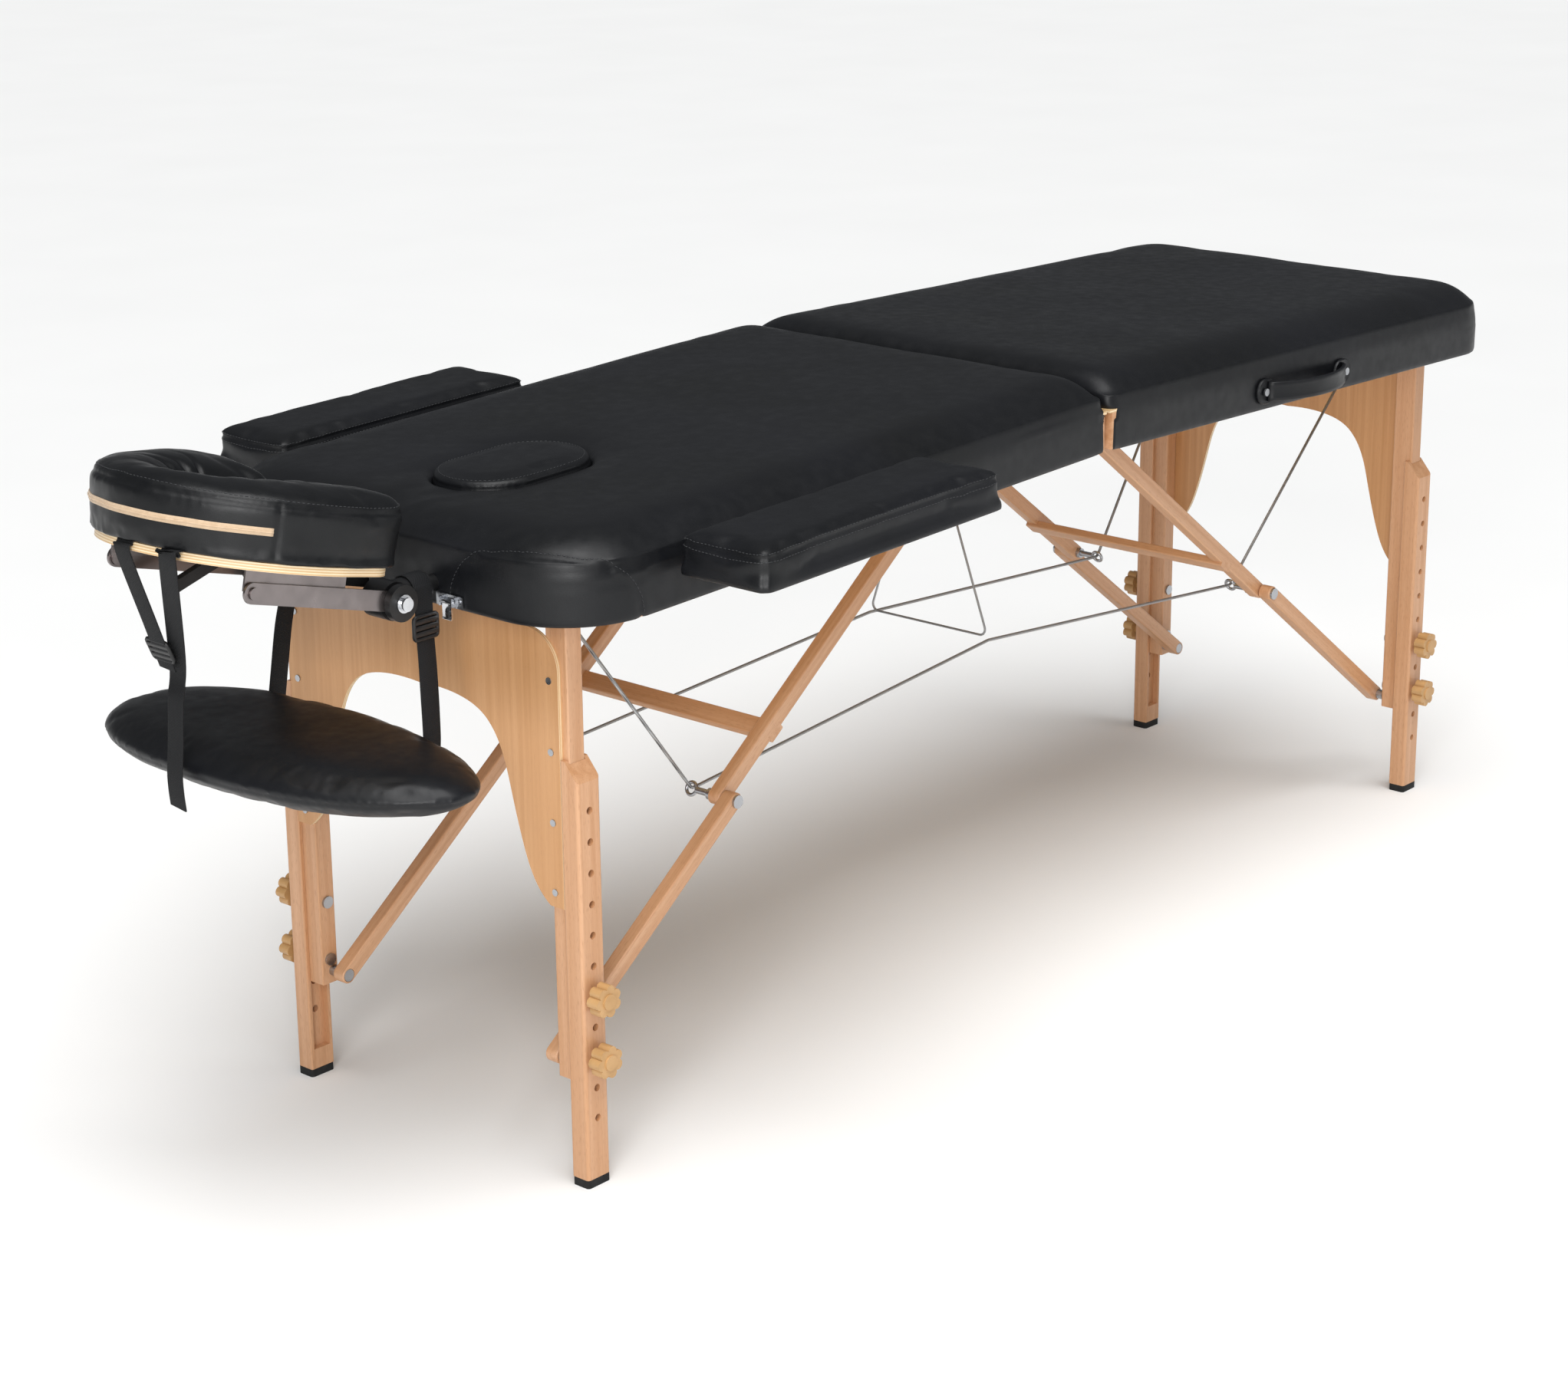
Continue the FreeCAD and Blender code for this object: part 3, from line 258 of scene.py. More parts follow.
def frame_wood(name):
    """Beech rails: the grain follows the side rails, and turns across in the end and fold rails."""
    s = Shade(name, Coat_Weight=0.1, Coat_Roughness=0.4)
    run, fibres_run = wood_colour(s, (1, 0, 0), *BEECH, (0, 0, 0), 0.3)
    across, fibres_across = wood_colour(s, (0, 1, 0), *BEECH, (0.3, 0, 0), 0.3)
    y = s.math("ABSOLUTE", s.dot(s.place, (0, 1, 0)))
    side = s.math("GREATER_THAN", y, 0.28)
    tone = s.mix(side, across, run)
    height = s.mix(side, fibres_across, fibres_run)
    return s.done(Base_Color=tone, Roughness=0.5, Normal=s.bump(height, 0.0002, 0.3))


def plywood(name, along, board_normal, pale, dark, fleck=0.25, ply=0.0014):
    """Veneered board: long grain on the faces and thin plies on the edges."""
    s = Shade(name, Coat_Weight=0.15, Coat_Roughness=0.3)
    tone, fibres = wood_colour(s, along, pale, dark, (0.1, 0.2, 0), fleck)
    depth = s.dot(s.place, tuple(Vector(board_normal) / ply * math.pi))
    layer = s.math("MULTIPLY_ADD", s.math("SINE", depth), 0.5, 0.5)
    plies = s.mix(s.ramp(layer, (0.35, 0.0), (0.6, 1.0)), colour("#f0dfbd"), colour("#cfa97a"))
    plies = s.mix(s.math("MULTIPLY", s.noise(300.0, 2.0), 0.5), plies, colour("#d8b98c"))
    facing = s.math("ABSOLUTE", s.dot(s.facing, board_normal))
    edge = s.math("LESS_THAN", facing, 0.7)
    return s.done(Base_Color=s.mix(edge, tone, plies), Roughness=0.45,
                  Normal=s.bump(fibres, 0.00015, 0.25))


def metal(name, tone, rough, along=(1, 0, 0), brushed=0.0):
    """Metal with a brushed or a faintly smudged finish."""
    s = Shade(name, Metallic=1.0)
    lines = s.noise(1.0, 2.0, s.scaled(s.turned(along), 4200, 4200, 24))
    smudge = s.noise(45.0, 3.0)
    base = s.mix(s.ramp(smudge, (0.35, 0.0), (0.75, 0.18)), colour(tone), colour("#6f7072"))
    gloss = s.ramp(smudge, (0.3, rough * 0.8), (0.75, rough * 1.35))
    return s.done(Base_Color=base, Roughness=gloss, Normal=s.bump(lines, 0.0001, brushed))


def wire(name):
    """Stranded steel cable: a fine slanting lay, with painted shade in the grooves between the strands and a
    painted highlight on their crowns.
    """
    s = Shade(name, Metallic=1.0)
    lay = s.add("TexWave", {"wave_type": "BANDS", "bands_direction": "DIAGONAL"}, Vector=s.place,
                Scale=420.0, Distortion=0.4, Detail=1.0)
    # The colour follows the lay: painted shade in the grooves between the strands, painted highlight on their
    # crowns.
    base = s.mix(lay.outputs[0], colour("#6d6e70"), colour("#c9cacb"))
    return s.done(Base_Color=base, Roughness=0.34, Normal=s.bump(lay.outputs[0], 0.0004, 0.6))


def plastic(name, tone, shade, rough, grain=900.0, depth=0.00008):
    """Moulded plastic with a fine texture and slight mottling."""
    s = Shade(name)
    base = s.mix(s.ramp(s.noise(38.0, 3.0), (0.35, 0.0), (0.7, 1.0)), colour(tone), colour(shade))
    texture = s.noise(grain, 2.0)
    gloss = s.ramp(s.noise(70.0, 2.0), (0.3, rough * 0.9), (0.7, rough * 1.15))
    return s.done(Base_Color=base, Roughness=gloss, Normal=s.bump(texture, depth, 0.5))


def webbing(name, along, across, pitch=0.0017):
    """Woven polypropylene strap: rows of small raised yarns, every second one shifted, with painted shade
    between the yarns and a painted highlight on their tops.
    """
    s = Shade(name, Specular_IOR_Level=0.3)
    rows = s.math("SINE", s.dot(s.place, tuple(Vector(along) * math.tau / pitch)))
    yarns = s.math("SINE", s.dot(s.place, tuple(Vector(across) * math.tau / (pitch * 1.3))))
    height = s.math("MULTIPLY_ADD", s.math("MULTIPLY", rows, yarns), 0.5, 0.5)
    # The colour follows the weave's height: painted shade between the yarns, painted highlight on their tops.
    base = s.mix(height, colour("#08080a"), colour("#18191b"))
    base = s.mix(s.math("MULTIPLY", s.noise(700.0, 1.0), 0.3), base, colour("#1b1c1e"))
    return s.done(Base_Color=base, Roughness=0.72, Normal=s.bump(height, 0.0005, 0.7))


def thread_material(name, tone):
    s = Shade(name)
    twist = s.add("TexWave", {"bands_direction": "DIAGONAL"}, Vector=s.place, Scale=900.0)
    # Lighter bands along the twist: painted highlight on the thread's plies.
    base = s.mix(twist.outputs[0], colour(tone), colour("#3a3b3e"))
    return s.done(Base_Color=base, Roughness=0.6)


def zipper_tape(name):
    """Beige knitted tape with fine ribs."""
    s = Shade(name, Sheen_Weight=0.2)
    ribs = s.math("SINE", s.dot(s.turned((0, 0, 1)), (0, 0, math.tau / 0.0009)))
    height = s.math("MULTIPLY_ADD", ribs, 0.5, s.noise(1500.0, 1.0))
    base = s.mix(s.noise(160.0, 3.0), colour("#d3ba9c"), colour("#b99c7c"))
    return s.done(Base_Color=base, Roughness=0.7, Normal=s.bump(height, 0.0003, 0.6))


BRACE_FALL = math.radians(36.84)
FOOT_BRACE = (math.cos(BRACE_FALL), 0.0, -math.sin(BRACE_FALL))
HEAD_BRACE = (-math.cos(BRACE_FALL), 0.0, -math.sin(BRACE_FALL))
PLATE_NORMAL = (math.sin(PLATE_SLOPE), 0.0, math.cos(PLATE_SLOPE))

LEATHER = leather("cover_leather", "#0f1012", "#141519")
SOFT_LEATHER = leather("cushion_leather", "#0d0e10", "#141517", (0.34, 0.46))
CHROME = metal("chrome", "#dcdde0", 0.14)
STEEL = metal("brushed_steel", "#8f8786", 0.32, (1, 0, 0), 0.35)
ZINC = metal("zinc_plated", "#b4b6ba", 0.28)
CABLE = wire("cable_steel")
RUBBER = plastic("rubber", "#101010", "#191919", 0.8, 700.0, 0.0002)
KNOB = plastic("knob_plastic", "#c39a68", "#b38a58", 0.42)
BLACK = plastic("black_plastic", "#0d0d0e", "#151516", 0.4)
STRAP = webbing("strap_webbing", (0, 0, 1), (0.7, 0.7, 0))
STITCH = thread_material("thread", "#18191b")
ZIPPER = zipper_tape("zipper_tape")


def finish_cad_nodes():
    """Gives every CAD node that stays visible its own material."""
    grains = ((UP, "head_upper_legs foot_upper_legs head_near_extension head_far_extension"),
              (UP, "foot_near_extension foot_far_extension"),
              (HEAD_BRACE, "head_upper_braces"), (FOOT_BRACE, "foot_upper_braces"),
              (HEAD_BRACE, "head_lower_braces"), (FOOT_BRACE, "foot_lower_braces"),
              ((0, 1, 0), "head_crossbar foot_crossbar"),
              ((1, 0, 0), "armrest_frame_near armrest_frame_far"))
    finishes = {}
    for along, names in grains:
        for name in names.split():
            index = len(finishes)
            finishes[name] = beech("beech_" + name, along, (0.37 * index, 0.21 * index, 0.0))
    for end in ("head", "foot"):
        finishes[end + "_frame"] = frame_wood("beech_" + end + "_frame")
        finishes[end + "_deck"] = plywood("ply_" + end + "_deck", (1, 0, 0), (0, 0, 1),
                                          "#ddc190", "#c9a876")
        finishes[end + "_end_panel"] = plywood("ply_" + end + "_panel", (0, 0, 1), (1, 0, 0),
                                               "#cd9c6d", "#bd8a58", 0.12)
        finishes[end + "_fittings"] = ZINC
        finishes[end + "_leg_fasteners"] = ZINC
        finishes[end + "_eye_bolts"] = ZINC
        finishes[end + "_knuckle_bolts"] = ZINC
        for side in ("near", "far"):
            finishes[end + "_" + side + "_foot"] = RUBBER
            for level in ("lower", "upper"):
                finishes[end + "_" + side + "_" + level + "_knob"] = KNOB
    finishes["cradle_plate"] = plywood("ply_cradle", (1, 0, 0), PLATE_NORMAL, "#e8d2a6", "#d9bd8c")
    finishes["cradle_arms"] = STEEL
    finishes["cradle_brackets"] = STEEL
    finishes["cradle_nuts"] = CHROME
    finishes["cradle_base"] = BLACK
    finishes["fold_hinge_pins"] = ZINC
    finishes["support_cables"] = CABLE
    for side in ("near", "far"):
        finishes["latch_lever_" + side] = CHROME
        finishes["clamp_lever_" + side] = BLACK
    for name, material in finishes.items():
        slots = NODES[name].material_slots
        if not slots:
            NODES[name].data.materials.append(material)
        for material_slot in slots:
            material_slot.material = material


finish_cad_nodes()


# ---- mesh helpers
def new_piece(name, mesh, material):
    piece = bpy.data.objects.new(name, mesh)
    SCENE.collection.objects.link(piece)
    mesh.materials.clear()
    mesh.materials.append(material)
    return piece


def piece_from(name, bm, material, sharp=None):
    """A smooth-shaded piece from a bmesh. sharp is the angle over which edges stay crisp."""
    bmesh.ops.recalc_face_normals(bm, faces=bm.faces[:])
    mesh = bpy.data.meshes.new(name)
    bm.to_mesh(mesh)
    bm.free()
    mesh.polygons.foreach_set("use_smooth", [True] * len(mesh.polygons))
    if sharp is not None:
        mesh.set_sharp_from_angle(angle=math.radians(sharp))
    return new_piece(name, mesh, material)


def copy_of(node, name, material, place):
    """A closed copy of a CAD node, moved back into the level frame of its place."""
    bm = bmesh.new()
    bm.from_mesh(NODES[node].data)
    bmesh.ops.remove_doubles(bm, verts=bm.verts[:], dist=0.00002)
    bm.transform(place.inverted())
    return piece_from(name, bm, material)


def points(piece):
    co = np.zeros(len(piece.data.vertices) * 3)
    piece.data.vertices.foreach_get("co", co)
    return co.reshape(-1, 3)


def set_points(piece, co):
    piece.data.vertices.foreach_set("co", np.ascontiguousarray(co).ravel())
    piece.data.update()


def normals(piece):
    out = np.zeros(len(piece.data.vertices) * 3)
    piece.data.vertex_normals.foreach_get("vector", out)
    return out.reshape(-1, 3)


def apply_modifiers(piece):
    graph = bpy.context.evaluated_depsgraph_get()
    mesh = bpy.data.meshes.new_from_object(piece.evaluated_get(graph))
    piece.modifiers.clear()
    piece.data = mesh
    mesh.polygons.foreach_set("use_smooth", [True] * len(mesh.polygons))


def remesh(piece, voxel, smoothing=3):
    grid = piece.modifiers.new("grid", "REMESH")
    grid.mode = "VOXEL"
    grid.voxel_size = voxel
    relax = piece.modifiers.new("relax", "SMOOTH")
    relax.factor = 0.5
    relax.iterations = smoothing
    apply_modifiers(piece)


def subdivide(piece):
    piece.modifiers.new("fine", "SUBSURF").levels = 1
    apply_modifiers(piece)


def smoothstep(low, high, value):
    t = np.clip((value - low) / (high - low), 0.0, 1.0)
    return t * t * (3 - 2 * t)


def swell(piece, cap, free=None, pressure=4.0):
    """Fills a cover with foam: cloth under pressure, with no point further than cap from its start.

    free says, from 0 to 1, how far each point may follow."""
    start = points(piece)
    cloth = piece.modifiers.new("swell", "CLOTH")
    cloth.settings.quality = 5
    cloth.settings.use_pressure = True
    cloth.settings.uniform_pressure_force = pressure
    cloth.settings.effector_weights.gravity = 0.0
    for number in range(1, SWELL_FRAMES + 1):
        SCENE.frame_set(number)
    graph = bpy.context.evaluated_depsgraph_get()
    evaluated = piece.evaluated_get(graph)
    mesh = evaluated.to_mesh()
    co = np.zeros(len(mesh.vertices) * 3)
    mesh.vertices.foreach_get("co", co)
    evaluated.to_mesh_clear()
    piece.modifiers.clear()
    SCENE.frame_set(1)
    moved = co.reshape(-1, 3) - start
    reach = np.linalg.norm(moved, axis=1, keepdims=True) + 1e-9
    moved *= cap * np.tanh(reach / cap) / reach
    if free is not None:
        moved *= free[:, None]
    set_points(piece, start + moved)


def shrink(piece, amount, weight=1.0):
    """Draws faces inwards (outwards if amount is negative), so that the swollen cover ends at the
    real size."""
    inwards = normals(piece) * amount
    set_points(piece, points(piece) - (inwards.T * weight).T)


def waves(piece, height, scale, seed, weight=1.0):
    """Slow unevenness of a stretched cover."""
    co = points(piece)
    shift = Vector((seed, 2.1 * seed, 0.7 * seed))
    lift = np.array([noise.noise(Vector(p) * scale + shift) for p in co]) * weight
    set_points(piece, co + normals(piece) * (lift * height)[:, None])


def evenly(route, step, closed=False):
    """Points a step apart along a polyline."""
    route = [Vector(p) for p in route]
    if closed:
        route.append(route[0].copy())
    out, left = [route[0].copy()], step
    for a, b in zip(route, route[1:]):
        length = (b - a).length
        at = left
        while at <= length:
            out.append(a.lerp(b, at / length))
            at += step
        left = at - length
    return out


def through(route, steps=8):
    """A smooth line through its points."""
    p = [Vector(q) for q in route]
    p = [2 * p[0] - p[1]] + p + [2 * p[-1] - p[-2]]
    out = []
    for i in range(1, len(p) - 2):
        for k in range(steps):
            t = k / steps
            out.append(0.5 * (2 * p[i] + (p[i + 1] - p[i - 1]) * t
                              + (2 * p[i - 1] - 5 * p[i] + 4 * p[i + 1] - p[i + 2]) * t * t
                              + (3 * p[i] - p[i - 1] - 3 * p[i + 1] + p[i + 2]) * t ** 3))
    out.append(p[-2].copy())
    return out


def skin_of(piece):
    """A search tree of a piece's surface."""
    return BVHTree.FromPolygons([v.co for v in piece.data.vertices],
                                [p.vertices[:] for p in piece.data.polygons])


def on_skin(skin, route):
    """The nearest surface points, as (point, normal)."""
    return [skin.find_nearest(p)[:2] for p in route]


def spots_on(skin, route):
    """The nearest surface points alone."""
    return [p for p, n in on_skin(skin, route)]


def sew(piece, route, depth, width):
    """Presses a seam into a piece along a route."""
    tree = KDTree(len(route))
    for i, p in enumerate(route):
        tree.insert(p, i)
    tree.balance()
    co = points(piece)
    away = np.array([tree.find(p)[2] for p in co])
    push = depth * np.exp(-(away / width) ** 2)
    set_points(piece, co - normals(piece) * push[:, None])


def stitches(name, line, body, length=0.0036, radius=THREAD, place=None):
    """A row of stitches: short arched threads along (point, normal) samples one pitch apart."""
    bm = bmesh.new()
    sides = 5
    for i in range(len(line) - 1):
        (p, n), (q, _) = line[i], line[i + 1]
        along = (q - p)
        if along.length < 1e-6 or along.length > 3 * length:
            continue
        along.normalize()
        across = n.cross(along).normalized()
        rings = []
        for t, lift, fat in ((-0.5, -0.5, 0.6), (-0.3, 0.55, 1.0), (0.3, 0.55, 1.0), (0.5, -0.5, 0.6)):
            middle = p + along * (t * length) + n * (lift * radius)
            ring = []
            for k in range(sides):
                a = math.tau * k / sides
                ring.append(bm.verts.new(middle + (across * math.cos(a) + n * math.sin(a))
                                         * radius * fat))
            rings.append(ring)
        for r, s in zip(rings, rings[1:]):
            for k in range(sides):
                bm.faces.new((r[k], r[(k + 1) % sides], s[(k + 1) % sides], s[k]))
        bm.faces.new(rings[0][::-1])
        bm.faces.new(rings[-1])
    if place is not None:
        bm.transform(place)
    piece = piece_from(name, bm, STITCH)
    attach(piece, body)
    return piece


def swept(bm, route, section, across, closed=False):
    """A solid with one section along a route. section holds (side, up) offsets; across, or
    across(i), is the direction of side."""
    rings = []
    count = len(route)
    for i, p in enumerate(route):
        if closed:
            ahead = route[(i + 1) % count] - route[i - 1]
        else:
            ahead = route[min(i + 1, count - 1)] - route[max(i - 1, 0)]
        ahead.normalize()
        side = Vector(across(i) if callable(across) else across)
        side = (side - ahead * side.dot(ahead)).normalized()
        up = side.cross(ahead)
        rings.append([bm.verts.new(p + side * a + up * b) for a, b in section])
    size = len(section)
    pairs = list(zip(rings, rings[1:]))
    if closed:
        pairs.append((rings[-1], rings[0]))
    for r, s in pairs:
        for k in range(size):
            bm.faces.new((r[k], r[(k + 1) % size], s[(k + 1) % size], s[k]))
    if not closed:
        bm.faces.new(rings[0][::-1])
        bm.faces.new(rings[-1])


def arc(x, y, r, start, turn, steps, z):
    """Level points round part of a circle."""
    angles = [start + turn * k / steps for k in range(steps + 1)]
    return [Vector((x + r * math.cos(a), y + r * math.sin(a), z)) for a in angles]


def rounded_section(width, thick, corner, steps=3):
    """A flat section with rounded corners."""
    out = []
    for sx, sy, first in ((1, 1, 0), (-1, 1, 1), (-1, -1, 2), (1, -1, 3)):
        for k in range(steps + 1):
            a = (first + k / steps) * math.pi / 2
            out.append((sx * (width / 2 - corner) + corner * math.cos(a),
                        sy * (thick / 2 - corner) + corner * math.sin(a)))
    return out


def round_section(radius, sides=10):
    return [(radius * math.cos(math.tau * k / sides), radius * math.sin(math.tau * k / sides))
            for k in range(sides)]


def put_in_place(piece, place, body, node):
    """Moves a finished pad from its level frame to its place and ties it to the model."""
    piece.data.transform(place)
    piece.data.update()
    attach(piece, body)
    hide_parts(node)


# ---- bed covers
def breath_distance(co):
    """How far points lie outside the breathing hole's outline, in plan."""
    run = (BREATH_LENGTH - BREATH_WIDTH) / 2
    dx = np.maximum(np.abs(co[:, 0] - BREATH_CENTRE[0]) - run, 0.0)
    dy = co[:, 1] - BREATH_CENTRE[1]
    return np.hypot(dx, dy) - BREATH_WIDTH / 2


def draw_down(piece):
    """Carries the pad's sides down over the rails."""
    co = points(piece)
    co[co[:, 2] < PAD_LOW, 2] = COVER_LOW
    set_points(piece, co)


def clear_fold(piece, side):
    """Keeps a cover on its own side of the fold, and off the hinge below the deck."""
    co = points(piece)
    out = side * co[:, 0]
    out = np.maximum(out, 0.0005)
    below = 1.0 - smoothstep(PAD_LOW - 0.008, PAD_LOW + 0.004, co[:, 2])
    out += 0.0046 * below * np.clip(1 - out / 0.02, 0, 1)
    co[:, 0] = side * out
    set_points(piece, co)


def roll_rim(piece):
    """Rounds the cover over into the breathing hole."""
    co = points(piece)
    away = breath_distance(co)
    radius = 0.009
    inside = np.clip((radius - away) / radius, 0, 1)
    drop = radius * (1 - np.sqrt(np.maximum(1 - inside ** 2, 0)))
    top = smoothstep(PAD_TOP - 0.012, PAD_TOP - 0.002, co[:, 2]) * (away < radius)
    co[:, 2] -= 0.75 * drop * top
    sink = 0.0016 * np.exp(-(np.maximum(away, 0) / 0.03) ** 2)
    co[:, 2] -= sink * smoothstep(PAD_TOP - 0.012, PAD_TOP - 0.002, co[:, 2])
    set_points(piece, co)


def outline_gap(co, side, corner):
    """How far points lie inside a section's plan outline; the fold side doesn't count."""
    end = SECTION_LENGTH - side * co[:, 0]
    edge = SECTION_HALF - np.abs(co[:, 1])
    bend = (end < corner) & (edge < corner)
    return np.where(bend, corner - np.hypot(corner - end, corner - edge), np.minimum(end, edge))


def soft_edges(piece, side, corner):
    """Lets the foam fall away gently towards the outline, and a little towards the fold."""
    co = points(piece)
    gap = np.maximum(outline_gap(co, side, corner), 0)
    fall = 0.0150 * np.exp(-(gap / 0.034) ** 2) + 0.005 * np.exp(-(co[:, 0] / 0.022) ** 2)
    co[:, 2] -= fall * smoothstep(PAD_TOP - 0.03, PAD_TOP - 0.002, co[:, 2])
    set_points(piece, co)


def on_outline(p, side, corner, offset):
    """Where a point's plan place lies on the section's outline, moved outwards by offset."""
    hand = 1 if p.y > 0 else -1
    end, edge = SECTION_LENGTH - side * p.x, SECTION_HALF - abs(p.y)
    if end < corner and edge < corner:
        away = Vector((corner - end, corner - edge)).normalized() * (corner + offset)
        return side * (SECTION_LENGTH - corner + away.x), hand * (SECTION_HALF - corner + away.y)
    if side * p.x < min(end, edge):
        return side * FOLD_SHY, p.y
    if end < edge:
        return side * (SECTION_LENGTH + offset), p.y
    return p.x, hand * (SECTION_HALF + offset)


def hang_skirt(piece, side, corner, hole):
    """Cuts the cover off above the rails and hangs a clean edge from there, down to its lip."""
    bm = bmesh.new()
    bm.from_mesh(piece.data)
    gone = []
    for face in bm.faces:
        c = face.calc_center_median()
        low = PAD_LOW if hole and breath_distance(np.array([c]))[0] < 0.03 else SKIRT_TOP
        if c.z < low:
            gone.append(face)
    bmesh.ops.delete(bm, geom=gone, context="FACES")
    ring = []
    for edge in bm.edges:
        middle = np.array([(edge.verts[0].co + edge.verts[1].co) / 2])
        if edge.is_boundary and not (hole and breath_distance(middle)[0] < 0.03):
            ring.append(edge)
    levels = [(z, 0.0) for z in np.arange(SKIRT_TOP - 0.004, 0.003, -0.004)]
    levels += [(0.0010, -0.0008), (COVER_LOW, -0.0025), (COVER_LOW, -LIP)]
    for z, offset in levels:
        grown = bmesh.ops.extrude_edge_only(bm, edges=ring)["geom"]
        ring = [e for e in grown if isinstance(e, bmesh.types.BMEdge)]
        for v in {v for e in ring for v in e.verts}:
            v.co.x, v.co.y = on_outline(v.co, side, corner, offset)
            v.co.z = z + FOLD_LIFT * max(0.0, 1 - side * v.co.x / 0.03)
    bmesh.ops.recalc_face_normals(bm, faces=bm.faces[:])
    bm.to_mesh(piece.data)
    bm.free()
    piece.data.polygons.foreach_set("use_smooth", [True] * len(piece.data.polygons))


def over_boards(piece, side, corner):
    """Keeps a cover just outside the frame and deck that it is stretched over."""
    co = points(piece)
    gap = outline_gap(co, side, corner)
    inside = (gap > BOARD_SHY) & (gap < 0.006) & (co[:, 2] > 0.002) & (co[:, 2] < PAD_LOW + 0.004)
    set_points(piece, co + normals(piece) * np.where(inside, gap - BOARD_SHY, 0.0)[:, None])


def corner_seam(hand, steps=60):
    """The arched seam of a corner panel: up the end face, round the corner, down the side."""
    straight = 0.083
    total = straight + HEAD_CORNER * math.pi / 2 - 0.006
    start = SECTION_HALF - HEAD_CORNER - straight
    route = []
    for k in range(steps + 1):
        t = k / steps
        s = t * total
        if s < straight:
            x, y = SECTION_LENGTH, start + s
        else:
            a = (s - straight) / HEAD_CORNER
            x = SECTION_LENGTH - HEAD_CORNER * (1 - math.cos(a))
            y = SECTION_HALF - HEAD_CORNER * (1 - math.sin(a))
        arch = math.sqrt(max(1 - (2 * t - 1) ** 2, 0.0))
        route.append(Vector((-x, hand * y, COVER_LOW + (PAD_TOP - 0.004) * arch)))
    return route


def offset_line(line, centre, distance):
    """Samples moved along the surface, away from a centre."""
    out = []
    for i, (p, n) in enumerate(line):
        a = line[max(i - 1, 0)][0]
        b = line[min(i + 1, len(line) - 1)][0]
        side = n.cross((b - a).normalized())
        if side.dot(p - centre) < 0:
            side.negate()
        out.append(p + side * distance)
    return out


def bed_cover(end, side):
    place = section_place(side)
    head = end == "head"
    corner = HEAD_CORNER if head else FOOT_CORNER
    piece = copy_of(end + "_pad", end + "_cover", LEATHER, place)
    draw_down(piece)
    remesh(piece, 0.008)
    co = points(piece)
    free = smoothstep(PAD_LOW - 0.012, PAD_LOW + 0.02, co[:, 2])
    if head:
        free *= smoothstep(0.0, 0.03, breath_distance(co))
    swell(piece, 0.0045, free)
    clear_fold(piece, side)
    subdivide(piece)
    soft_edges(piece, side, corner)
    if head:
        roll_rim(piece)
    hang_skirt(piece, side, corner, head)
    waves(piece, 0.0011, 9.0, 3.0 + side, smoothstep(0.006, 0.04, points(piece)[:, 2]))
    clear_fold(piece, side)
    if head:
        for hand, label in ((-1, "near"), (1, "far")):
            skin = skin_of(piece)
            seam = spots_on(skin, evenly(corner_seam(hand), 0.002))
            sew(piece, seam, 0.0016, 0.0042)
            over_boards(piece, side, corner)
            line = on_skin(skin_of(piece), evenly(seam, 0.0052))
            centre = Vector((-SECTION_LENGTH + 0.03, hand * (SECTION_HALF - 0.03), 0.02))
            row = on_skin(skin_of(piece), offset_line(line, centre, 0.0042))
            stitches("corner_stitches_" + label, row, "head_half", place=place)
    put_in_place(piece, place, end + "_half", end + "_pad")


def breath_plug():
    place = section_place(-1)
    piece = copy_of("breath_plug", "breath_plug_pad", LEATHER, place)
    remesh(piece, 0.004, 2)
    co = points(piece)
    top = co[:, 2].max()
    free = smoothstep(0.0, 0.03, -breath_distance(co)) * smoothstep(top - 0.02, top - 0.004, co[:, 2])
    swell(piece, 0.0040, free)
    subdivide(piece)
    skin = skin_of(piece)
    seam = spots_on(skin, evenly(oval_loop(0.001, top - 0.0085), 0.002, True))
    sew(piece, seam, 0.0011, 0.0026)
    row = on_skin(skin_of(piece), evenly(oval_loop(0.0075, top), 0.0052, True))
    stitches("plug_stitches", row, "breath_plug_body", place=place)
    put_in_place(piece, place, "breath_plug_body", "breath_plug")


def oval_loop(inset, z, steps=24):
    """The plug's outline, drawn in by inset."""
    run = (BREATH_LENGTH - BREATH_WIDTH) / 2
    r = BREATH_WIDTH / 2 - inset
    x, y = BREATH_CENTRE
    quarter = math.pi / 2
    return (arc(x + run, y, r, -quarter, math.pi, steps, z)
            + arc(x - run, y, r, quarter, math.pi, steps, z))


# ---- armrests
ARM_BOARD = 0.0095                       # the pad's cover is drawn down over its board by this much


def rectangle_loop(x0, x1, y0, y1, z, corner, steps=6):
    middle = Vector(((x0 + x1) / 2, (y0 + y1) / 2, z))
    section = rounded_section(x1 - x0, y1 - y0, corner, steps)
    return [middle + Vector((a, b, 0)) for a, b in section]


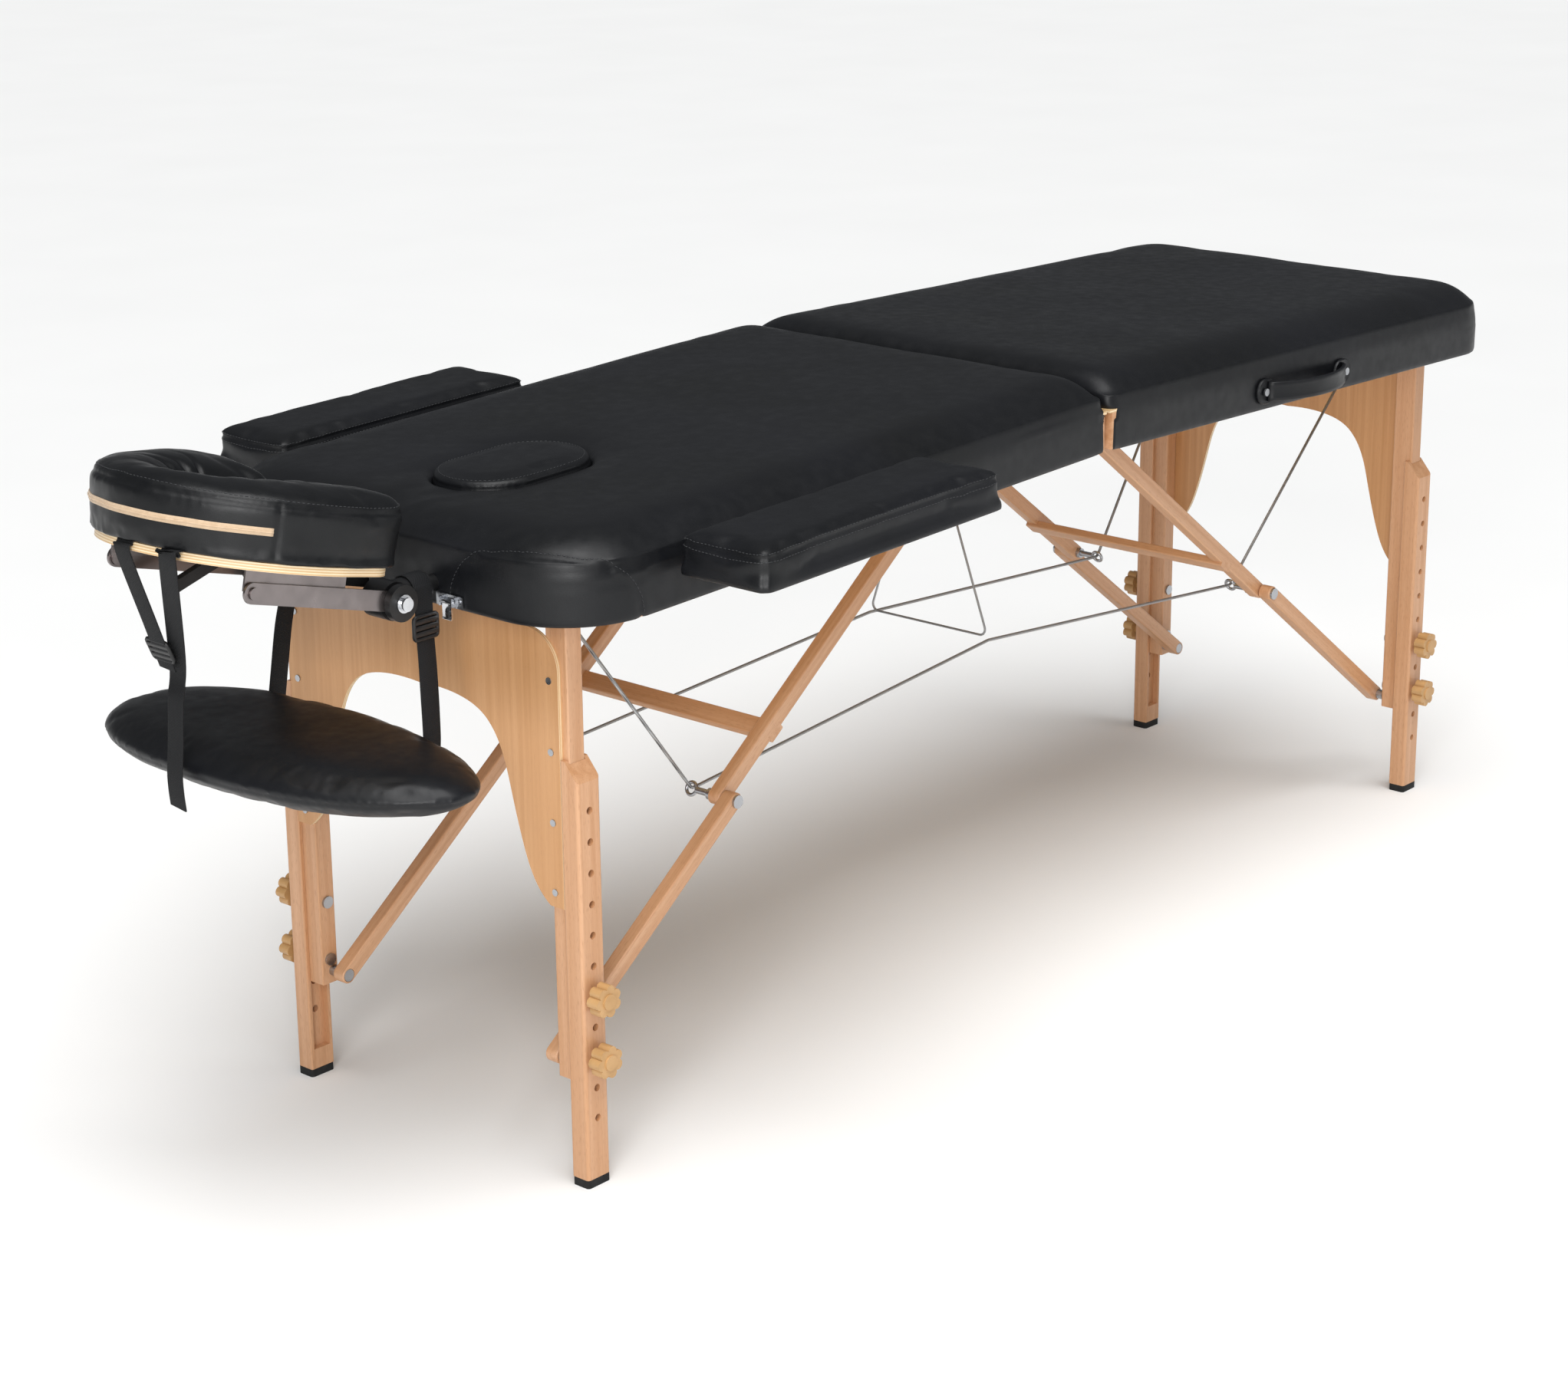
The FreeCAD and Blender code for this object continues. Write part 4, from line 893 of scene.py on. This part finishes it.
def armrest_pad(side):
    hand = -1 if side == "near" else 1
    place = section_place(-1)
    piece = copy_of("armrest_pad_" + side, "armrest_cushion_" + side, LEATHER, place)
    box = points(piece)
    x0, x1 = box[:, 0].min(), box[:, 0].max()
    y0, y1 = box[:, 1].min(), box[:, 1].max()
    low, top = box[:, 2].min(), box[:, 2].max()
    low -= ARM_BOARD
    box[box[:, 2] < low + ARM_BOARD + 0.002, 2] = low
    set_points(piece, box)
    remesh(piece, 0.005, 2)
    co = points(piece)
    held = smoothstep(low + 0.006, low + 0.020, co[:, 2])
    shrink(piece, 0.0026, held)
    inner = np.abs(co[:, 1]) < abs(hand * y0 if hand > 0 else y1) + 0.01
    swell(piece, 0.0062, np.where(inner, 0.55, 1.0) * held)
    subdivide(piece)
    seam_z = top - 0.0085
    loop = rectangle_loop(x0, x1, y0, y1, seam_z, 0.014)
    skin = skin_of(piece)
    seam = spots_on(skin, evenly(loop, 0.002, True))
    sew(piece, seam, 0.0013, 0.0032)
    corner_x = x0 + 0.004
    corner_y = y0 + 0.004 if hand < 0 else y1 - 0.004
    upright = [Vector((corner_x, corner_y, z)) for z in np.linspace(low + 0.002, seam_z, 12)]
    sew(piece, spots_on(skin, upright), 0.0012, 0.003)
    skin = skin_of(piece)
    upper = rectangle_loop(x0 + 0.002, x1 - 0.002, y0 + 0.002, y1 - 0.002, top - 0.0035, 0.014)
    row = on_skin(skin, evenly(upper, 0.0052, True))
    stitches("armrest_stitches_" + side, row, "armrest_" + side, place=place)
    lower = rectangle_loop(x0, x1, y0, y1, top - 0.0125, 0.014)
    row = on_skin(skin, evenly(lower, 0.0052, True))
    stitches("armrest_lower_stitches_" + side, row, "armrest_" + side, place=place)
    put_in_place(piece, place, "armrest_" + side, "armrest_pad_" + side)


# ---- face cradle cushion
def face_outline(inset, z, steps=40):
    """Outer edge of the horseshoe, from the far rear corner round the front to the near one."""
    r = FACE_R - inset
    rear = FACE_BACK - inset
    side = r - FACE_CORNER
    quarter = math.pi / 2
    far = arc(rear - FACE_CORNER, side, FACE_CORNER, 0.0, quarter, 8, z)
    front = arc(FACE_FRONT, 0.0, r, quarter, math.pi, steps, z)
    near = arc(rear - FACE_CORNER, -side, FACE_CORNER, -quarter, quarter, 8, z)
    return ([Vector((rear, side - 0.03, z))] + far + front + near
            + [Vector((rear, 0.03 - side, z))])


def gather(piece):
    """Folds that the elastic draws into the cover round the face opening."""
    co = points(piece)
    dx, dy = co[:, 0] - FACE_HOLE_X, co[:, 1]
    along = np.minimum(dx, 0.0)
    away = np.hypot(along, dy) - FACE_HOLE_R
    angle = np.arctan2(dy, -np.minimum(dx, 0.02) + 0.02)
    turn = 9.0 * angle + 18.0 * np.maximum(dx, 0) * np.sign(dy) * 2.0
    wobble = np.array([noise.noise(Vector((p[0] * 22, p[1] * 22, 4.0))) for p in co])
    fold = (0.5 + 0.5 * np.sin(2.0 * turn + 3.0 * wobble)) ** 3
    reach = np.exp(-((away - 0.012) / 0.026) ** 2)
    upper = smoothstep(FACE_TOP - 0.03, FACE_TOP - 0.004, co[:, 2])
    set_points(piece, co - normals(piece) * (0.0034 * fold * reach * upper)[:, None])


def slope_inwards(piece):
    """The top falls gently towards the face opening."""
    co = points(piece)
    dx = np.minimum(co[:, 0] - FACE_HOLE_X, 0.0)
    away = np.hypot(dx, co[:, 1]) - FACE_HOLE_R
    fall = 0.011 * np.exp(-np.maximum(away, 0) / 0.022)
    upper = smoothstep(FACE_LOW + 0.02, FACE_TOP, co[:, 2])
    co[:, 2] -= fall * upper
    set_points(piece, co)


def face_cushion():
    piece = copy_of("face_cushion", "face_pillow", SOFT_LEATHER, PLATE_PLACE)
    shrink(piece, -0.0060, smoothstep(FACE_LOW, FACE_LOW + 0.012, points(piece)[:, 2]))
    remesh(piece, 0.005)
    co = points(piece)
    swell(piece, 0.0095, smoothstep(FACE_LOW - 0.001, FACE_LOW + 0.012, co[:, 2]))
    slope_inwards(piece)
    subdivide(piece)
    gather(piece)
    waves(piece, 0.0016, 26.0, 5.0)
    skin = skin_of(piece)
    rim_z = FACE_TOP - 0.0085
    seam = spots_on(skin, evenly(face_outline(0.0, rim_z), 0.002))
    sew(piece, seam, 0.0016, 0.0034)
    upright_x = FACE_FRONT + FACE_R * math.cos(ZIP_END)
    upright_y = FACE_R * math.sin(ZIP_END)
    uprights = []
    for hand in (-1, 1):
        upright = [Vector((upright_x, hand * upright_y, z)) for z in np.linspace(FACE_LOW, rim_z, 24)]
        uprights.append(spots_on(skin, upright))
        sew(piece, uprights[-1], 0.0015, 0.003)
    skin = skin_of(piece)
    row = on_skin(skin, evenly(face_outline(0.004, rim_z + 0.0055), 0.0052))
    stitches("face_pillow_stitches", row, "face_cushion_body", place=PLATE_PLACE)
    zip_z = (FACE_LOW + FACE_TOP) / 2 - 0.001
    route = [p for p in face_outline(0.0, zip_z, 240) if p.x < upright_x - 0.002]
    line = on_skin(skin, evenly(route, 0.004))
    middle = [p + n * 0.0002 for p, n in line]
    across = [UP.cross(n).cross(n) for p, n in line]
    bm = bmesh.new()
    swept(bm, middle, rounded_section(0.0085, 0.0022, 0.001, 2), lambda i: across[i])
    bm.transform(PLATE_PLACE)
    tape = piece_from("face_zipper_tape", bm, ZIPPER)
    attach(tape, "face_cushion_body")
    bm = bmesh.new()
    swept(bm, [p + n * 0.0014 for p, n in line], round_section(0.0009, 8), lambda i: across[i])
    bm.transform(PLATE_PLACE)
    coil = piece_from("face_zipper_coil", bm, ZIPPER)
    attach(coil, "face_cushion_body")
    put_in_place(piece, PLATE_PLACE, "face_cushion_body", "face_cushion")


# ---- hanging sling
SLING = Vector((-0.915, -0.020, 0.521))
SLING_HALF_LENGTH = 0.2720
SLING_HALF_WIDTH = 0.1215
SLING_HALF_THICK = 0.025
SLING_ROLL = math.radians(-0.8)
SLING_PLACE = Matrix.Translation(SLING) @ Matrix.Rotation(SLING_ROLL, 4, "X")


def sling_outline(angle):
    """Plan of the shelf: a full round far end and a near end drawn to a soft point."""
    s, c = math.sin(angle), math.cos(angle)
    power = 2.45 if s > 0 else 1.9
    reach = (abs(c) ** power + abs(s) ** power) ** (-1 / power)
    trail = 0.010 * (s * reach) ** 2 if s < 0 else 0.0
    return SLING_HALF_WIDTH * c * reach + trail, SLING_HALF_LENGTH * s * reach


def sling_pad():
    bm = bmesh.new()
    rings, count = 14, 96
    layers = []
    for hand in (1, -1):
        middle = bm.verts.new((0, 0, hand * SLING_HALF_THICK))
        loops = []
        for r in range(1, rings + 1):
            share = 1 - (1 - r / rings) ** 1.8
            loop = []
            for k in range(count):
                x, y = sling_outline(math.tau * k / count)
                z = hand * SLING_HALF_THICK * max(1 - share ** 5, 0.0) ** 0.55
                if r == rings and hand < 0:
                    loop.append(layers[0][-1][k])
                else:
                    loop.append(bm.verts.new((x * share, y * share, z)))
            loops.append(loop)
        for k in range(count):
            bm.faces.new((middle, loops[0][k], loops[0][(k + 1) % count]))
        for a, b in zip(loops, loops[1:]):
            for k in range(count):
                bm.faces.new((a[k], b[k], b[(k + 1) % count], a[(k + 1) % count]))
        layers.append(loops)
    piece = piece_from("sling_cushion", bm, LEATHER)
    shrink(piece, 0.002)
    remesh(piece, 0.005, 2)
    swell(piece, 0.005)
    subdivide(piece)
    waves(piece, 0.0012, 14.0, 8.0)
    seam = []
    for k in range(360):
        x, y = sling_outline(math.tau * k / 360)
        seam.append(Vector((x, y, -0.006)))
    skin = skin_of(piece)
    sew(piece, spots_on(skin, seam), 0.0013, 0.003)
    put_in_place(piece, SLING_PLACE, "sling", "sling_pad")


STRAP_WIDTH = 0.025
STRAP_SECTION = rounded_section(STRAP_WIDTH, 0.0018, 0.0008, 2)
FRONT_EDGE = SLING.x - 0.118
FRONT_Y = 0.018
BUCKLE = Vector((FRONT_EDGE - 0.002, FRONT_Y, 0.638))
BOARD_R = FACE_R - 0.007
SLEEVE_Y = 0.088                         # the cradle's rod sleeves, which the rear straps go round
SLEEVE_Z = 0.6859
SLEEVE_R = 0.0172
HANG_X = FOLD.x - SECTION_LENGTH - 0.0305


# the front straps in lengths that each cross one joint: name, body below, body above, heights
FRONT_CUTS = (0.580, 0.725)
FRONT_LENGTHS = (("low", "sling", "cradle_base_body", 0.540, FRONT_CUTS[0]),
                 ("middle", "cradle_base_body", "cradle_arm_pair", *FRONT_CUTS),
                 ("top", "cradle_arm_pair", "cradle_plate_body", FRONT_CUTS[1], 0.765))


def slide_buckle(bm, centre, turn):
    """Slide buckle: a moulded frame with bars across. It faces X until it is turned."""
    half_w, half_h = 0.0165, 0.0125
    outline = [Vector((0, half_w, half_h)), Vector((0, -half_w, half_h)),
               Vector((0, -half_w, -half_h)), Vector((0, half_w, -half_h))]
    start = len(bm.verts)
    corners = []
    for i, corner in enumerate(outline):
        before, after = outline[i - 1], outline[(i + 1) % 4]
        for k in range(4):
            t = k / 3
            a = corner + (before - corner).normalized() * 0.004
            b = corner + (after - corner).normalized() * 0.004
            corners.append(a.lerp(corner, t).lerp(corner.lerp(b, t), t))
    swept(bm, corners, round_section(0.0024, 8), (1, 0, 0), closed=True)
    for z in (-0.0068, 0.0, 0.0068):
        swept(bm, [Vector((0, -half_w, z)), Vector((0, 0, z)), Vector((0, half_w, z))],
              rounded_section(0.0060, 0.0048, 0.0015, 2), UP)
    bm.verts.ensure_lookup_table()
    bmesh.ops.transform(bm, matrix=Matrix.Translation(centre) @ turn, verts=bm.verts[start:])


def front_straps(bm):
    """The far strap comes down to the buckle; the near one runs on over the shelf as the tail."""
    tops = []
    for y in (-0.058, 0.004):
        inner_y = max(abs(y) - STRAP_WIDTH / 2, 0)
        rim = FACE_FRONT - math.sqrt(BOARD_R ** 2 - inner_y ** 2) - 0.0013
        tops.append([PLATE_PLACE @ Vector(q) for q in ((rim + 0.022, y, 0.0106), (rim + 0.004, y, 0.0100),
                                                       (rim - 0.0002, y, 0.0062), (rim, y, -0.0050))])
    near_joint = BUCKLE + Vector((0.0040, -0.006, 0.004))
    tail = [(BUCKLE.x + 0.0010, FRONT_Y - 0.003, 0.600), (FRONT_EDGE - 0.0032, FRONT_Y - 0.001, 0.555),
            (FRONT_EDGE - 0.0062, FRONT_Y, 0.521), (FRONT_EDGE - 0.0045, FRONT_Y + 0.002, 0.500),
            (FRONT_EDGE - 0.0005, FRONT_Y + 0.005, 0.480)]
    near = tops[0] + [near_joint] + [Vector(q) for q in tail]
    swept(bm, through(near), STRAP_SECTION, (0, 1, 0))
    far_joint = BUCKLE + Vector((-0.0010, 0.004, -0.004))
    swept(bm, through(tops[1] + [tops[1][-1].lerp(far_joint, 0.6), far_joint]), STRAP_SECTION, (0, 1, 0))
    return far_joint - tops[1][-1]


def rear_strap(bm, hand):
    """Goes round the rod's sleeve and down to the shelf's rear edge."""
    route = []
    for k in range(9):
        a = math.radians(200 - 25 * k)
        route.append((HANG_X, hand * (SLEEVE_Y + SLEEVE_R * math.cos(a)), SLEEVE_Z + SLEEVE_R * math.sin(a)))
    if hand > 0:
        route += [(HANG_X - 0.004, 0.1065, 0.656), (HANG_X - 0.008, 0.1160, 0.612)]
    else:
        route += [(HANG_X, -SLEEVE_Y - SLEEVE_R - 0.0006, 0.640), (HANG_X - 0.002, -0.110, 0.605)]
    route += [(HANG_X - 0.012, hand * 0.1225, 0.560), (HANG_X - 0.0145, hand * 0.1255, 0.532),
              (HANG_X - 0.0165, hand * 0.1265, 0.516)]
    swept(bm, through(route, 4), STRAP_SECTION, (1, 0, 0))


def sling_straps():
    front = bmesh.new()
    fall = front_straps(front)
    bm = bmesh.new()
    for hand in (1, -1):
        rear_strap(bm, hand)
    straps = piece_from("rear_webbing", bm, STRAP, 50)
    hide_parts("sling_straps")
    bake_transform(straps)
    for name, lower, upper, low, high in FRONT_LENGTHS:
        part = front.copy()
        for z, way in ((low, -1), (high, 1)):
            if z in FRONT_CUTS:
                bmesh.ops.bisect_plane(part, geom=part.verts[:] + part.edges[:] + part.faces[:],
                                       dist=0.000001, plane_co=(0, 0, z), plane_no=(0, 0, way),
                                       clear_outer=True)
        webbing = piece_from("front_webbing_" + name, part, STRAP, 50)
        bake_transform(webbing)
    front.free()
    low, high = FRONT_CUTS
    bm = bmesh.new()
    lean = math.atan2(fall.x, -fall.z)
    slide_buckle(bm, BUCKLE - fall * 0.13 + Vector((-0.0012, 0.006, 0)), Matrix.Rotation(-lean, 4, "Y"))
    buckle = piece_from("front_buckle", bm, BLACK, 60)
    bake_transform(buckle)
    bm = bmesh.new()
    for hand in (1, -1):
        slide_buckle(bm, Vector((HANG_X, hand * (SLEEVE_Y + SLEEVE_R + 0.002), 0.648)),
                     Matrix.Rotation(math.pi / 2, 4, "Z"))
    buckles = piece_from("sling_buckles", bm, BLACK, 60)
    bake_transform(buckles)


# ---- support cables
CABLE_JOIN_X = FOLD.x + 0.025


def loose_parts(bm):
    """The sets of vertices that hang together."""
    left = set(bm.verts)
    while left:
        part, front = set(), [next(iter(left))]
        while front:
            v = front.pop()
            if v not in part:
                part.add(v)
                front += [e.other_vert(v) for e in v.link_edges]
        left -= part
        yield part


def cable_side(name, side):
    """The two side cables on one side of their join, or with side 0 the wire in the middle."""
    bm = bmesh.new()
    bm.from_mesh(NODES["support_cables"].data)
    bmesh.ops.remove_doubles(bm, verts=bm.verts[:], dist=0.00002)
    for part in list(loose_parts(bm)):
        is_wire = max(abs(v.co.x - FOLD.x) for v in part) < 0.3
        if is_wire != (side == 0):
            bmesh.ops.delete(bm, geom=list(part), context="VERTS")
    if side:
        bmesh.ops.bisect_plane(bm, geom=bm.verts[:] + bm.edges[:] + bm.faces[:], dist=0.000001,
                               plane_co=(CABLE_JOIN_X, 0, 0), plane_no=(side, 0, 0), clear_inner=True)
        bmesh.ops.holes_fill(bm, edges=[e for e in bm.edges if e.is_boundary], sides=0)
    return piece_from(name, bm, CABLE, 50)


def support_cables():
    """Each side of the cables lies down inside its own frame as the bed folds."""
    wire = cable_side("centre_wire", 0)
    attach(wire, "fold_hinge")
    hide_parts("support_cables")
    for end, side in (("head", -1), ("foot", 1)):
        cables = cable_side(end + "_cables", side)
        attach(cables, end + "_half")
        place = section_place(side)
        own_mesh(cables)


# ---- carry handle
def carry_handle():
    """Bowed leather grip with two pressed channels, and a round-ended tab at each end."""
    place = section_place(1)
    y = -(SECTION_HALF + 0.0016)
    z = 0.025
    x0, x1 = 0.345, 0.515
    bow = 0.031
    route = []
    for k in range(33):
        t = k / 32
        lift = math.sin(math.pi * t) ** 0.7
        route.append(Vector((x0 - 0.004 + (x1 - x0 + 0.008) * t, y - 0.0035 - bow * lift * 0.9, z)))
    section = []
    count = 32
    for k in range(count):
        a = math.tau * k / count
        side = 0.0128 * math.copysign(abs(math.cos(a)) ** 0.55, math.cos(a))
        up = 0.0032 * math.copysign(abs(math.sin(a)) ** 0.55, math.sin(a))
        channel = math.exp(-((abs(side) - 0.0045) / 0.0011) ** 2)
        section.append((side, up * (1 - 0.42 * channel)))
    bm = bmesh.new()
    swept(bm, route, section, UP)
    bm.transform(place)
    grip = piece_from("handle_grip", bm, LEATHER)
    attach(grip, "foot_half")
    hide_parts("carry_handle")
    bm = bmesh.new()
    for hand, x in ((-1, x0), (1, x1)):
        rings = []
        for depth, inset in ((0.0, 0.0), (0.0024, 0.0), (0.0034, 0.0011), (0.0030, 0.003), (0.0030, 0.02)):
            ring = []
            for k in range(40):
                a = math.tau * k / 40
                r = 0.0175 - min(inset, 0.0174)
                stretch = 0.004 if math.cos(a) * -hand > 0 else 0.0
                ring.append(bm.verts.new((x + hand * 0.008 + r * math.cos(a) - hand * stretch,
                                          y - depth, z + r * math.sin(a) * 0.97)))
            rings.append(ring)
        for a, b in zip(rings, rings[1:]):
            for k in range(40):
                bm.faces.new((a[k], a[(k + 1) % 40], b[(k + 1) % 40], b[k]))
        bm.faces.new(rings[0])
        bm.faces.new(rings[-1][::-1])
    bm.transform(place)
    tabs = piece_from("handle_tabs", bm, LEATHER, 50)
    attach(tabs, "foot_half")


# ---- floor and light
def make_floor():
    bm = bmesh.new()
    bmesh.ops.create_grid(bm, x_segments=2, y_segments=2, size=150.0)
    s = Shade("floor_paper", Specular_IOR_Level=0.1)
    tone = s.mix(s.noise(2.0, 2.0), colour("#f4f4f3"), colour("#f9f9f8"))
    floor = piece_from("floor", bm, s.done(Base_Color=tone, Roughness=0.9))


def add_light(name, kind, place, aim, energy, **settings):
    data = bpy.data.lights.new(name, kind)
    data.energy = energy
    for key, value in settings.items():
        setattr(data, key, value)
    light = bpy.data.objects.new(name, data)
    light.location = place
    light.rotation_mode = "QUATERNION"
    light.rotation_quaternion = (Vector(aim) - Vector(place)).to_track_quat("-Z", "Y")
    SCENE.collection.objects.link(light)


def make_light():
    world = bpy.data.worlds.new("studio")
    world.use_nodes = True
    background = world.node_tree.nodes["Background"]
    background.inputs["Color"].default_value = (0.93, 0.96, 1.0, 1.0)
    background.inputs["Strength"].default_value = 0.16
    SCENE.world = world
    SCENE.view_settings.view_transform = "Standard"
    add_light("top", "SUN", (-1.0, -1.5, 6.0), (0, 0, 0.6), 2.75, angle=math.radians(50))
    add_light("front", "AREA", (-4.4, -3.0, 2.3), (-0.2, 0, 0.6), 170.0, size=2.6)
    add_light("side", "AREA", (2.6, -4.2, 2.6), (0.4, 0, 0.6), 18.0, size=2.4)


make_floor()
make_light()
bed_cover("head", -1)
bed_cover("foot", 1)
breath_plug()
armrest_pad("near")
armrest_pad("far")
face_cushion()
sling_pad()
sling_straps()
support_cables()
carry_handle()
